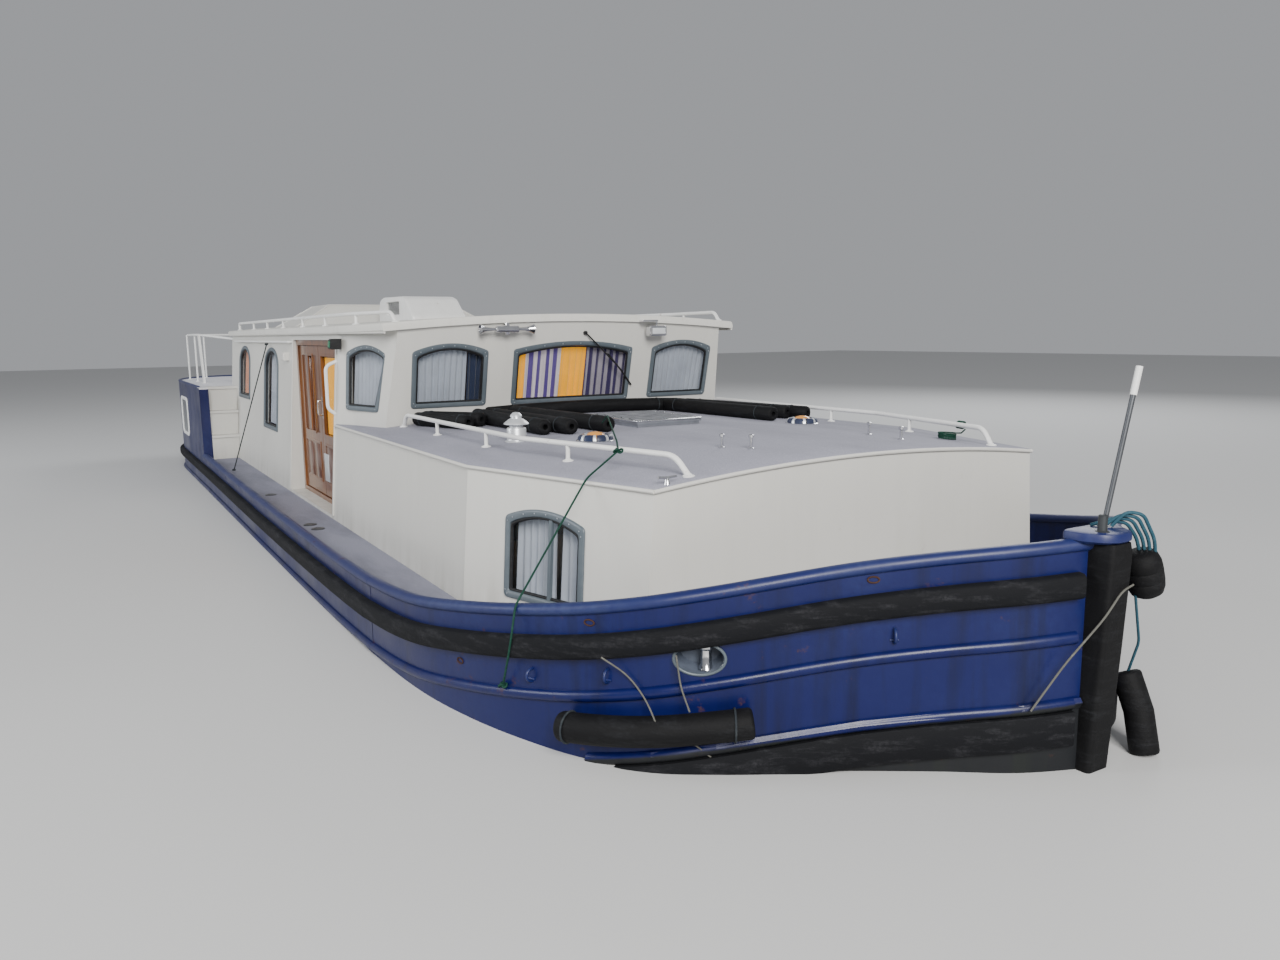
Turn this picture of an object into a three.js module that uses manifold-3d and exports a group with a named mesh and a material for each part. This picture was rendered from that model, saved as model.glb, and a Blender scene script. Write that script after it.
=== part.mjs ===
// A steel canal houseboat: flat-bottomed barge hull, fore cabin, wheelhouse and raised stern.
// Units are millimetres. x runs forward, y to port and z up.
import * as THREE from 'three';
import { mergeVertices } from 'three/addons/utils/BufferGeometryUtils.js';
import Module from 'manifold-3d';

const wasm = await Module();
wasm.setup();

// Gap that separate pieces keep where they touch
const seat = 0.3;

// Heights above the flat bottom
const deckZ = 1100;
const deckPlate = 15;
const hullTop = deckZ - deckPlate;
const counterZ = 640;
const bilgeZ = 350;
const wellFloor = 120;

// Lengths from the front wall of the fore cabin, forward positive
const stemX = 1380;
const sternX = -13050;
const aftBodyX = -9260;
const wheelhouseAft = -9850;
const seamX = -4300;

// Half-breadth of the hull's plan, from stem to stern. Columns: x, half-breadth
const planTable = [
  [stemX, 0], [1250, 300], [1070, 560], [880, 850], [700, 1140], [560, 1370], [400, 1590],
  [160, 1775], [-160, 1920], [-560, 2045], [-1050, 2135], [-1700, 2175], [-2600, 2180],
  [aftBodyX, 2180], [-11300, 2180], [-11950, 2130], [-12450, 1960], [-12800, 1620],
  [-12990, 1080], [sternX, 480], [sternX, 0],
];

// Top of the bulwark's cap above the deck. Columns: x, height
const sheerTable = [
  [stemX, 660], [880, 560], [560, 460], [400, 415], [160, 360], [-160, 300], [-560, 235],
  [-1050, 165], [-1700, 120], [-2600, 90], [aftBodyX, 80], [sternX, 80],
];

// Fore cabin and wheelhouse. Heights are above the deck
const wallThick = 40;
const lean = 0.075;
const cabinHalf = 1780;
const cabinFrontHalf = 1378;
const cabinCornerX = -1320;
const cabinRoofEdge = 788;
const cabinCamber = 78;
const roofSkin = 22;
const houseFrontX = -3570;
const houseFrontHalf = 1530;
const houseFrontLean = 0.105;
const houseFrontBase = 788;
const houseRake = 0.25;
const houseTop = 1520;
const houseCamber = 80;
const houseRoofHalf = 1700;
const houseRoofThick = 60;
const houseRoofFront = -3345;
const houseRoofAft = -9940;

// Side doors, starboard ones mirrored to port
const doorFore = -4345;
const doorAft = -6020;
const doorMeet = -5185;
const doorSill = 25;
const doorHead = 1470;
const doorFaceY = 1650;
const doorFrameDeep = 80;
const jambWide = 60;
const headWide = 50;
const leafThick = 45;
const leafSetback = 15;
const leafGap = 5;

// Colours as seen in daylight
const paint = {
  hullBlue: [0x23408f, 0.45, 0.1],
  capBlue: [0x8fa3bd, 0.5, 0.1],
  cream: [0xdad8cf, 0.5, 0.0],
  roofGrey: [0xb9bdc4, 0.85, 0.0],
  deckGrey: [0x8d90a0, 0.9, 0.0],
  white: [0xe8e8e6, 0.4, 0.0],
  black: [0x1c1d1f, 0.85, 0.0],
  timber: [0x2b2927, 0.95, 0.0],
  wood: [0x6b3a1b, 0.4, 0.0],
  frameGrey: [0x5c6d84, 0.4, 0.6],
  chrome: [0xd4d6d8, 0.15, 1.0],
  aluminium: [0xa9adb2, 0.4, 0.9],
  steel: [0x4a4d52, 0.6, 0.7],
  bronze: [0x9a7a3c, 0.35, 0.9],
  floor: [0x8a6a45, 0.6, 0.0],
  engine: [0x3f5a48, 0.6, 0.4],
};

const boat = new THREE.Group();
const house = new THREE.Group();
boat.position.x = -(stemX + 85 + sternX - 55) / 2;
house.add(boat);

function add(name, geometry, [color, roughness, metalness]) {
  const finish = new THREE.MeshStandardMaterial({ color, roughness, metalness });
  const mesh = new THREE.Mesh(geometry, finish);
  mesh.name = name;
  boat.add(mesh);
  return mesh;
}

// Straight-line value of a two-column table whose first column falls
function tableAt(table, x) {
  const last = table.length - 1;
  if (x >= table[0][0]) return table[0][1];
  for (let row = 0; row < last; row++) {
    const [x0, v0] = table[row];
    const [x1, v1] = table[row + 1];
    if (x <= x0 && x > x1) return v0 + (v1 - v0) * (x0 - x) / (x0 - x1);
  }
  return table[last][1];
}

const sheerAt = (x) => deckZ + tableAt(sheerTable, x);

// Booleans
function solidOf(geometry) {
  const bare = new THREE.BufferGeometry();
  bare.setAttribute('position', geometry.getAttribute('position').clone());
  if (geometry.index) bare.setIndex(geometry.index.clone());
  const merged = mergeVertices(bare, 1e-3);
  return new wasm.Manifold(new wasm.Mesh({
    numProp: 3,
    vertProperties: new Float32Array(merged.getAttribute('position').array),
    triVerts: new Uint32Array(merged.index.array),
  }));
}

function geometryOf(solid) {
  const mesh = solid.getMesh();
  const geometry = new THREE.BufferGeometry();
  geometry.setAttribute('position', new THREE.BufferAttribute(new Float32Array(mesh.vertProperties), 3));
  geometry.setIndex(new THREE.BufferAttribute(new Uint32Array(mesh.triVerts), 1));
  geometry.computeVertexNormals();
  return geometry;
}

function join(...geometries) {
  return geometryOf(geometries.map(solidOf).reduce((whole, part) => whole.add(part)));
}

function cut(geometry, ...cutters) {
  return geometryOf(cutters.map(solidOf).reduce((whole, part) => whole.subtract(part), solidOf(geometry)));
}

// Basic forms
function box(x0, x1, y0, y1, z0, z1) {
  const form = new THREE.BoxGeometry(Math.abs(x1 - x0), Math.abs(y1 - y0), Math.abs(z1 - z0));
  return form.translate((x0 + x1) / 2, (y0 + y1) / 2, (z0 + z1) / 2);
}

function rod(from, to, radius, sides = 8) {
  const start = new THREE.Vector3(...from);
  const way = new THREE.Vector3(...to).sub(start);
  const form = new THREE.CylinderGeometry(radius, radius, way.length(), sides);
  const turn = new THREE.Quaternion().setFromUnitVectors(new THREE.Vector3(0, 1, 0), way.clone().normalize());
  const middle = start.addScaledVector(way, 0.5);
  return form.applyQuaternion(turn).translate(middle.x, middle.y, middle.z);
}

// A bent round bar with mitred corners
function bentBar(path, radius, sides = 8) {
  const points = path.map((point) => new THREE.Vector3(...point));
  const last = points.length - 1;
  const ways = points.slice(1).map((point, i) => point.clone().sub(points[i]).normalize());
  const first = Math.abs(ways[0].z) > 0.9 ? new THREE.Vector3(1, 0, 0) : new THREE.Vector3(0, 0, 1);
  let side = first.clone().addScaledVector(ways[0], -first.dot(ways[0])).normalize();
  const rings = [];
  for (let i = 0; i <= last; i++) {
    const into = ways[Math.max(i - 1, 0)];
    const out = ways[Math.min(i, last - 1)];
    const over = into.clone().cross(side);
    const plane = into.clone().add(out).normalize();
    const ring = [];
    for (let k = 0; k < sides; k++) {
      const turn = (k + 0.5) * 2 * Math.PI / sides;
      const spoke = side.clone().multiplyScalar(radius * Math.cos(turn));
      spoke.addScaledVector(over, radius * Math.sin(turn));
      spoke.addScaledVector(into, -spoke.dot(plane) / into.dot(plane));
      ring.push(points[i].clone().add(spoke));
    }
    rings.push(ring);
    side.applyQuaternion(new THREE.Quaternion().setFromUnitVectors(into, out));
  }
  return loft(rings);
}

// Upright prism of a plan outline
function prism(outline, z0, z1) {
  const shape = new THREE.Shape(outline.map(([x, y]) => new THREE.Vector2(x, y)));
  return new THREE.ExtrudeGeometry(shape, { depth: z1 - z0, bevelEnabled: false }).translate(0, 0, z0);
}

// Triangles that close a flat ring of points, wound the way the ring runs
function capOf(ring) {
  const normal = new THREE.Vector3();
  ring.forEach((p, i) => {
    const q = ring[(i + 1) % ring.length];
    normal.x += (p.y - q.y) * (p.z + q.z);
    normal.y += (p.z - q.z) * (p.x + q.x);
    normal.z += (p.x - q.x) * (p.y + q.y);
  });
  const size = [Math.abs(normal.x), Math.abs(normal.y), Math.abs(normal.z)];
  const drop = size.indexOf(Math.max(...size));
  const [u, v] = [['y', 'z'], ['z', 'x'], ['x', 'y']][drop];
  const flat = ring.map((p) => new THREE.Vector2(p[u], p[v]));
  const runs = Math.sign(THREE.ShapeUtils.area(flat));
  return THREE.ShapeUtils.triangulateShape(flat, []).map(([a, b, c]) => {
    const turn = flat[b].clone().sub(flat[a]).cross(flat[c].clone().sub(flat[a]));
    return Math.sign(turn) === runs ? [a, b, c] : [a, c, b];
  });
}

// A closed solid through rings that all have the same number of points
function loft(rings) {
  const count = rings[0].length;
  const points = rings.flat();
  const faces = [];
  for (let r = 0; r < rings.length - 1; r++) {
    for (let k = 0; k < count; k++) {
      const a = r * count + k;
      const b = r * count + (k + 1) % count;
      faces.push([a, b, b + count], [a, b + count, a + count]);
    }
  }
  const end = (rings.length - 1) * count;
  capOf(rings[0]).forEach(([a, b, c]) => faces.push([a, c, b]));
  capOf(rings[rings.length - 1]).forEach(([a, b, c]) => faces.push([end + a, end + b, end + c]));
  let volume = 0;
  faces.forEach(([a, b, c]) => {
    volume += points[a].dot(points[b].clone().cross(points[c]));
  });
  const index = faces.flatMap(([a, b, c]) => (volume > 0 ? [a, b, c] : [a, c, b]));
  const geometry = new THREE.BufferGeometry().setFromPoints(points);
  geometry.setIndex(index);
  return geometry;
}

// Outward mitre of the plan at each of its points, for the port side
const planMitres = planTable.map(([x, y], i) => {
  const last = planTable.length - 1;
  const before = i > 0 ? planTable[i - 1] : [planTable[1][0], -planTable[1][1]];
  const after = i < last ? planTable[i + 1] : [planTable[last - 1][0], -planTable[last - 1][1]];
  const into = new THREE.Vector2(y - before[1], before[0] - x).normalize();
  const out = new THREE.Vector2(after[1] - y, x - after[0]).normalize();
  const mitre = into.clone().add(out).normalize();
  return mitre.divideScalar(mitre.dot(out));
});

// Points of one side of the plan moved outwards, from a half-breadth at the stem to a place aft
function planSide(side, outward, { firstHalf = 0, lastX = sternX } = {}) {
  const moved = planTable.map(([x, y], i) => [x + planMitres[i].x * outward, y + planMitres[i].y * outward]);
  const kept = moved.filter((_, i) => i > 0 && planTable[i][0] >= lastX - 1);
  const [a, b] = moved;
  const share = (firstHalf - a[1]) / (b[1] - a[1]);
  kept.unshift([a[0] + (b[0] - a[0]) * share, firstHalf]);
  return kept.map(([x, y]) => [x, side * (y < 1 ? -1 : y)]);
}

// A bar along the hull's side. Its section's columns are outward, up from the height given by levelAt
function sideBar(side, section, levelAt, reach = {}) {
  const lines = section.map(([outward]) => planSide(side, outward, reach));
  const rings = lines[0].map((_, i) => section.map(([, up], k) => {
    const [x, y] = lines[k][i];
    return new THREE.Vector3(x, y, levelAt(x) + up);
  }));
  return loft(rings);
}

// Hull: plan outlines at a few heights. Columns: height, stem x, stern x, breadth factor
const hullLevels = [
  [0, 500, -10500, 0.80],
  [bilgeZ, 1150, -10900, 0.97],
  [counterZ, stemX, -12300, 1],
  [counterZ, stemX, sternX, 1],
  [hullTop, stemX, sternX, 1],
];
const bowBendX = -2600;
const wellAft = -9670;
const wellOutline = [
  [-300, -1100], [-1400, -1500], [wellAft, -1500], [wellAft, 1500], [-1400, 1500], [-300, 1100],
];

function hullSolid() {
  const starboard = planTable.map(([x, y]) => [x, -y]);
  const port = planTable.slice(1, -1).reverse();
  const outline = [...starboard, ...port];
  const rings = hullLevels.map(([z, stem, stern, breadth]) => outline.map(([x, y]) => {
    let along = x;
    if (x > bowBendX) along = bowBendX + (x - bowBendX) * (stem - bowBendX) / (stemX - bowBendX);
    if (x < aftBodyX) along = aftBodyX + (x - aftBodyX) * (stern - aftBodyX) / (sternX - aftBodyX);
    return new THREE.Vector3(along, y * breadth, z);
  }));
  const ledges = bothSides(weldedSection, lowerLevel, { ...pastStem, lastX: 160 });
  return cut(join(loft(rings), ledges), prism(wellOutline, wellFloor, hullTop + 50));
}

// Bulwark, cap, rubbing band, ledges and lower band of each side
const bulwarkThick = 30;
const capHigh = 58;
const stemHalf = 70;
const hawse = { x: 520, y: 1425, up: 150, halfWide: 105, halfHigh: 66 };
const foreSideWay = Math.atan2(560 - 400, 1590 - 1370);

function hawsePipe(side, grow, depth) {
  const form = new THREE.CylinderGeometry(hawse.halfWide + grow, hawse.halfWide + grow, depth, 20);
  form.scale(1, 1, (hawse.halfHigh + grow) / (hawse.halfWide + grow));
  form.rotateZ(-side * foreSideWay);
  form.translate(hawse.x, side * hawse.y, deckZ + hawse.up);
  return form;
}

function bulwarkPlate(side) {
  const reach = { lastX: aftBodyX };
  const outer = planSide(side, 0, reach);
  const inner = planSide(side, -bulwarkThick, reach);
  const foot = hullTop + seat;
  return loft(outer.map(([x, y], i) => {
    const [xi, yi] = inner[i];
    const top = sheerAt(x) - capHigh + 8;
    return [
      new THREE.Vector3(x, y, foot), new THREE.Vector3(xi, yi, foot),
      new THREE.Vector3(xi, yi, top), new THREE.Vector3(x, y, top),
    ];
  }));
}

function bulwark() {
  const plates = join(bulwarkPlate(-1), bulwarkPlate(1));
  return cut(plates, capRail().translate(0, 0, -seat), hawsePipe(-1, 0, 200), hawsePipe(1, 0, 200));
}

// A bar along both sides of the hull
function bothSides(section, levelAt, reach) {
  return join(sideBar(-1, section, levelAt, reach), sideBar(1, section, levelAt, reach));
}

const bandSection = [[seat, -245], [seat, -140], [40, -140], [55, -155], [55, -230], [40, -245]];
const ledgeSection = [[seat, -28], [seat, 28], [16, 22], [26, 0], [16, -22]];
const weldedSection = [[-5, -28], [-5, 28], [16, 22], [26, 0], [16, -22]];
const pastStem = { firstHalf: stemHalf + 8 };
const upperLevel = (x) => sheerAt(x) - 420;
const lowerLevel = (x) => sheerAt(x) - 705;

// Fender slung along the starboard bow, bent to the hull
const slungRadius = 66;

function hungFender() {
  const run = planSide(-1, slungRadius + 2.4).filter(([x]) => x < 660 && x > 180);
  const [a, b] = [run[0], run[run.length - 1]];
  const ends = [[a[0] + 45, a[1] + 78], [b[0] - 120, b[1] - 54]];
  const path = [ends[0], ...run, ends[1]].map(([x, y]) => {
    const under = sheerAt(x) - 420 - 28 - slungRadius - 42;
    return [x, y, under - (x - 300) * 0.1];
  });
  return bentBar(path, slungRadius, 10);
}

function capRail() {
  const half = bulwarkThick / 2;
  const round = [[-half - 30, seat], [-half + 30, seat], [-half + 34, 22], [-half + 22, 48], [-half, capHigh],
    [-half - 22, 48], [-half - 34, 22]];
  const level = (x) => sheerAt(x) - capHigh;
  const reach = { firstHalf: 60, lastX: aftBodyX };
  const bars = [-1, 1].map((side) => sideBar(side, round, level, reach));
  const top = sheerAt(stemX) + 22;
  const nose = [[stemX + 85, -40], [stemX + 85, 40], [stemX + 60, 90], [stemX - 20, 135], [stemX - 110, 135],
    [stemX - 110, -135], [stemX - 20, -135], [stemX + 60, -90]];
  return join(...bars, prism(nose, top - 45, top));
}

function stemFender() {
  const slope = (stemX - planTable[1][0]) / planTable[1][1];
  const back = stemX + 0.8;
  const shoulder = back - stemHalf * slope;
  // Columns: height, how far the front stands off the stem
  const levels = [[counterZ + 10, 28], [deckZ + 180, 66], [sheerAt(stemX) - capHigh - 50, 84]];
  return loft(levels.map(([z, proud]) => {
    const front = stemX + proud;
    return [[back, 0], [shoulder, stemHalf], [front - 16, stemHalf], [front, stemHalf - 20],
      [front, 20 - stemHalf], [front - 16, -stemHalf], [shoulder, -stemHalf]]
      .map(([x, y]) => new THREE.Vector3(x, y, z));
  }));
}

// Steps up to the raised stern
const stepInner = 1690;
const stepOuter = 2075;
const stepDeep = 340;
const sternRise = 890;

// Deck plate: everything inside the bulwark, with the well open
function deckSolid() {
  const inset = -(bulwarkThick + 1);
  const starboard = planSide(-1, inset, { lastX: aftBodyX });
  const port = planSide(1, inset, { lastX: aftBodyX }).slice(1).reverse();
  starboard[0][1] = 0;
  const outline = [...starboard, ...port];
  const aft = box(aftBodyX + 1, wheelhouseAft, -cabinHalf, cabinHalf, hullTop + seat, deckZ);
  const landing = box(aftBodyX + 1, aftBodyX - stepDeep + seat, -(stepOuter - seat), stepOuter - seat,
    hullTop + seat, deckZ);
  return cut(join(prism(outline, hullTop + seat, deckZ), aft, landing),
    prism(wellOutline, hullTop - 50, deckZ + 50));
}

// Raised stern body with a notch each side for the steps

function aftBodyOutline(inset) {
  const half = planTable.filter(([x]) => x <= aftBodyX);
  return half.map(([x, y], i) => {
    const k = planTable.length - half.length + i;
    return [x - planMitres[k].x * inset, Math.max(y - planMitres[k].y * inset, 0)];
  });
}

function aftBody(z0, z1) {
  const port = aftBodyOutline(0);
  const notch = [[aftBodyX - stepDeep, 0], [aftBodyX - stepDeep, stepOuter], [aftBodyX - seat, stepOuter]];
  port[0][0] = aftBodyX - seat;
  const half = [...notch, ...port];
  const mirrored = half.slice(1, -1).map(([x, y]) => [x, -y]).reverse();
  return cut(prism([...half, ...mirrored], z0, z1), houseLoft(-seat, -50, 1000));
}

const aftPlate = 20;
const aftDeck = () => aftBody(deckZ + sternRise - aftPlate + seat, deckZ + sternRise);

function steps(side) {
  const riser = sternRise / 3;
  const going = 110;
  const front = aftBodyX + 20;
  const foot = deckZ + seat;
  const profile = [[front, foot]];
  for (let n = 0; n < 3; n++) {
    const x = front - n * going;
    const top = deckZ + (n + 1) * riser;
    profile.push([x, top - 30], [x + 25, top - 30], [x + 25, top], [x - going, top]);
  }
  profile[profile.length - 1][0] = aftBodyX - stepDeep + 2;
  profile.push([aftBodyX - stepDeep + 2, foot]);
  const shape = new THREE.Shape(profile.map(([x, z]) => new THREE.Vector2(x, z)));
  const wide = stepOuter - stepInner - 4;
  const form = new THREE.ExtrudeGeometry(shape, { depth: wide, bevelEnabled: false });
  form.rotateX(Math.PI / 2);
  const start = side > 0 ? stepInner + 2 + wide : -(stepInner + 2);
  return cut(form.translate(0, start, 0), houseLoft(-seat, -50, 1000));
}

// Walls: an outer loft less an inner one, with heights measured above the deck
function leaning([x, y], leanX, z) {
  return new THREE.Vector3(x + leanX * z, y - Math.sign(y) * lean * z, deckZ + z);
}

const cabinPlan = [
  [0, -cabinFrontHalf], [cabinCornerX, -cabinHalf], [seamX + seat, -cabinHalf],
  [seamX + seat, cabinHalf], [cabinCornerX, cabinHalf], [0, cabinFrontHalf],
];
const cabinInner = [
  [-wallThick, -(cabinFrontHalf - 30)], [cabinCornerX - 8, -(cabinHalf - wallThick)],
  [seamX - 60, -(cabinHalf - wallThick)], [seamX - 60, cabinHalf - wallThick],
  [cabinCornerX - 8, cabinHalf - wallThick], [-wallThick, cabinFrontHalf - 30],
];

function leaningPrism(plan, z0, z1) {
  return loft([z0, z1].map((z) => plan.map((corner) => leaning(corner, 0, z))));
}

const arcSteps = 10;

// Roof crown over the fore cabin, above the deck, level all round its edge
function cabinEdgeHalf(x) {
  const slope = (cabinHalf - cabinFrontHalf) / -cabinCornerX;
  const half = x > cabinCornerX ? cabinFrontHalf - x * slope : cabinHalf;
  return half - lean * cabinRoofEdge;
}

// Height of a camber that is flat between its ring's points
function facetCrown(edge, camber, half, y) {
  const share = Math.min(Math.max((y / half + 1) / 2 * arcSteps, 0), arcSteps);
  const knot = Math.min(Math.floor(share), arcSteps - 1);
  const rise = (k) => camber * (1 - (2 * k / arcSteps - 1) ** 2);
  return edge + rise(knot) + (rise(knot + 1) - rise(knot)) * (share - knot);
}

const cabinOverhang = 14;
const cabinCrown = (x, y) => facetCrown(cabinRoofEdge, cabinCamber, cabinEdgeHalf(x) + cabinOverhang, y);

// Rings of a cambered sheet between two surfaces. stations' columns: x, half-breadth
function camberedSheet(stations, topAt, underAt) {
  return loft(stations.map(([x, half]) => {
    const ring = [];
    for (let k = 0; k <= arcSteps; k++) {
      const y = -half + 2 * half * k / arcSteps;
      ring.push(new THREE.Vector3(x, y, deckZ + topAt(x, y)));
    }
    for (let k = arcSteps; k >= 0; k--) {
      const y = -half + 2 * half * k / arcSteps;
      ring.push(new THREE.Vector3(x, y, deckZ + underAt(x, y)));
    }
    return ring;
  }));
}

// Slatted hatch on the fore cabin's roof
const hatch = { x: -2210, y: -45, halfLong: 340, halfWide: 250, wall: 30, rise: 20, lid: 28 };

function hatchBlock(grow, z0, z1) {
  const { x, y, halfLong, halfWide } = hatch;
  return box(x - halfLong - grow, x + halfLong + grow, y - halfWide - grow, y + halfWide + grow, z0, z1);
}

function cabinRoofStations(aft, outward = 0) {
  return [14, cabinCornerX, aft].map((x) => [x, cabinEdgeHalf(Math.min(x, 0)) + cabinOverhang + outward]);
}

function cabinRoof() {
  const underside = (x, y) => cabinCrown(x, y) - roofSkin;
  const sheet = camberedSheet(cabinRoofStations(seamX + seat), cabinCrown, underside);
  return cut(sheet, hatchBlock(-hatch.wall, deckZ, deckZ + 2000));
}

// Space that fittings on each roof leave to it
const bedTop = (x, y) => cabinCrown(x, y) + seat;
const cabinBed = solidOf(camberedSheet(cabinRoofStations(seamX), bedTop, () => -50));

function onCabinRoof(...geometries) {
  return geometryOf(solidOf(join(...geometries)).subtract(cabinBed));
}

// Arched window outline in (across, up), centred on across = 0
function archedOutline({ left, right, rightTop = right, bottom, shoulder, crown }, grow = 0) {
  const [x0, x1, x2] = [left - grow, right + grow, rightTop + grow];
  const [z0, z1, z2] = [bottom - grow, shoulder + grow, crown + grow];
  const archFoot = [x2 + (x1 - x2) * 0.05, z1 - 25];
  const points = [[x0, z0 + 25], [x0 + 25, z0], [x1 - 25, z0], [x1, z0 + 25], archFoot];
  for (let k = 0; k <= 8; k++) {
    const share = k / 8;
    const x = x2 - 15 + (x0 + 15 - (x2 - 15)) * share;
    points.push([x, z1 + (z2 - z1) * (1 - (2 * share - 1) ** 2)]);
  }
  points.push([x0, z1 - 25]);
  return points.map(([x, z]) => new THREE.Vector2(x, z));
}

// Windows. place is the middle of the sill line at deck height on the wall's outer face;
// facing is the plan direction that the wall faces, tilt how far its top leans forward per unit of height
const frontPlaneX = houseFrontX - houseRake * houseFrontBase;
const centreSize = { left: -542, right: 542, bottom: 938, shoulder: 1378, crown: 1438 };
const frontSize = { left: -303, right: 303, bottom: 944, shoulder: 1372, crown: 1434 };
const sideSize = { left: 185, right: 662, rightTop: 785, bottom: 918, shoulder: 1368, crown: 1428 };
const cabinSize = { left: 360, right: 953, bottom: 112, shoulder: 545, crown: 602 };
const windowTable = [
  { name: 'window_front_centre', place: [frontPlaneX, 34], facing: [1, 0], tilt: houseRake, size: centreSize },
];
for (const side of [-1, 1]) {
  const name = side < 0 ? 'starboard' : 'port';
  const frontPlace = [frontPlaneX, side < 0 ? -1032 : 1080];
  const frontName = `window_front_${name}`;
  windowTable.push({ name: frontName, place: frontPlace, facing: [1, 0], tilt: houseRake, size: frontSize });
  const houseFacet = [[seamX, cabinHalf], [houseFrontX, houseFrontHalf + lean * houseFrontBase]];
  windowTable.push(facetWindow(`window_side_${name}`, side, houseFacet, sideSize));
  const cabinFacet = [[cabinCornerX, cabinHalf], [0, cabinFrontHalf]];
  windowTable.push(facetWindow(`window_cabin_${name}`, side, cabinFacet, cabinSize));
}

// A window on an angled panel, measured forward from the panel's aft edge
function facetWindow(name, side, [aft, fore], size) {
  const way = new THREE.Vector2(fore[0] - aft[0], fore[1] - aft[1]).normalize();
  const facing = [Math.abs(way.y), side * Math.abs(way.x)];
  const place = [aft[0], side * aft[1]];
  const flip = side > 0;
  return { name, place, facing, tilt: -lean * Math.abs(way.x), size, flip };
}

// A flat piece with the window's outline, set from outFrom to outTo along the wall's facing
function windowForm(entry, grow, outFrom, outTo, inner = null) {
  const mirrored = (points) => points.map((p) => new THREE.Vector2(-p.x, p.y)).reverse();
  const turnOver = (points) => (entry.flip ? mirrored(points) : points);
  const shape = new THREE.Shape(turnOver(archedOutline(entry.size, grow)));
  if (inner !== null) shape.holes.push(new THREE.Path(turnOver(archedOutline(entry.size, inner))));
  const form = new THREE.ExtrudeGeometry(shape, { depth: outTo - outFrom, bevelEnabled: false });
  form.translate(0, 0, outFrom);
  const [fx, fy] = entry.facing;
  const across = new THREE.Vector3(-fy, fx, 0);
  const out = new THREE.Vector3(fx, fy, 0);
  const up = new THREE.Vector3(0, 0, 1).addScaledVector(out, entry.tilt);
  form.applyMatrix4(new THREE.Matrix4().makeBasis(across, up, out));
  return form.translate(entry.place[0], entry.place[1], deckZ);
}

function windowUnit(entry) {
  const rim = solidOf(windowForm(entry, 0, -wallThick * 0.6, 12));
  const opening = solidOf(windowForm(entry, -34, -100, 100));
  const pane = solidOf(windowForm(entry, -30, -22, -12));
  return geometryOf(rim.subtract(opening).add(pane));
}

const housePlan = (z) => {
  const rise = z - houseFrontBase;
  const frontX = houseFrontX + houseRake * rise;
  const frontHalf = houseFrontHalf - houseFrontLean * rise;
  const half = cabinHalf - lean * z;
  return { frontX, frontHalf, half };
};

function houseLoft(inset, z0, z1) {
  return loft([z0, z1].map((z) => {
    const { frontX, frontHalf, half } = housePlan(z);
    const corner = frontHalf - inset * 0.8;
    return [
      [frontX - inset, -corner], [seamX - inset * 0.1, -(half - inset)],
      [wheelhouseAft + inset, -(half - inset)], [wheelhouseAft + inset, half - inset],
      [seamX - inset * 0.1, half - inset], [frontX - inset, corner],
    ].map(([x, y]) => new THREE.Vector3(x, y, deckZ + z));
  }));
}

const houseCrown = (y) => facetCrown(houseTop, houseCamber, houseRoofHalf, y);

const houseRoofStations = [
  [houseRoofFront, 1575], [seamX - 20, houseRoofHalf], [houseRoofAft, houseRoofHalf],
];

// Cambered sheet with the same camber all along, trimmed to the roof's plan
function houseSheet(under, over, outward = 0) {
  const ends = [[houseRoofFront + 300, houseRoofHalf], [houseRoofAft - 300, houseRoofHalf]];
  const top = (x, y) => houseCrown(y) + over;
  const bottom = (x, y) => (under === null ? -50 : houseCrown(y) + under);
  const sheet = camberedSheet(ends, top, bottom);
  const half = houseRoofStations.map(([x, y]) => [x, y + outward]);
  const plan = [...half, ...half.map(([x, y]) => [x, -y]).reverse()];
  return solidOf(sheet).intersect(solidOf(prism(plan, 0, deckZ + 4000)));
}

const houseRoof = () => geometryOf(houseSheet(0, houseRoofThick));
const houseBed = houseSheet(null, houseRoofThick + seat, 50);

function onHouseRoof(...geometries) {
  return geometryOf(solidOf(join(...geometries)).subtract(houseBed));
}

// Narrow round-topped windows in the wheelhouse's side. Columns: x, half-width, bottom, top
const archedSlots = [
  [-7130, 355, 555, 1361],
  [-8830, 350, 800, 1369],
];

function slotCutter(side, [x, halfWide, bottom, top], grow = 0) {
  const shape = new THREE.Shape();
  const w = halfWide + grow;
  shape.moveTo(-w, bottom - grow);
  shape.lineTo(w, bottom - grow);
  shape.lineTo(w, top - halfWide * 0.5);
  shape.absellipse(0, top - halfWide * 0.5, w, halfWide * 0.5 + grow, 0, Math.PI, false);
  const form = new THREE.ExtrudeGeometry(shape, { depth: 400, bevelEnabled: false, curveSegments: 6 });
  form.rotateX(Math.PI / 2);
  return form.translate(x, side > 0 ? cabinHalf + 100 : -cabinHalf + 300, deckZ);
}

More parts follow.
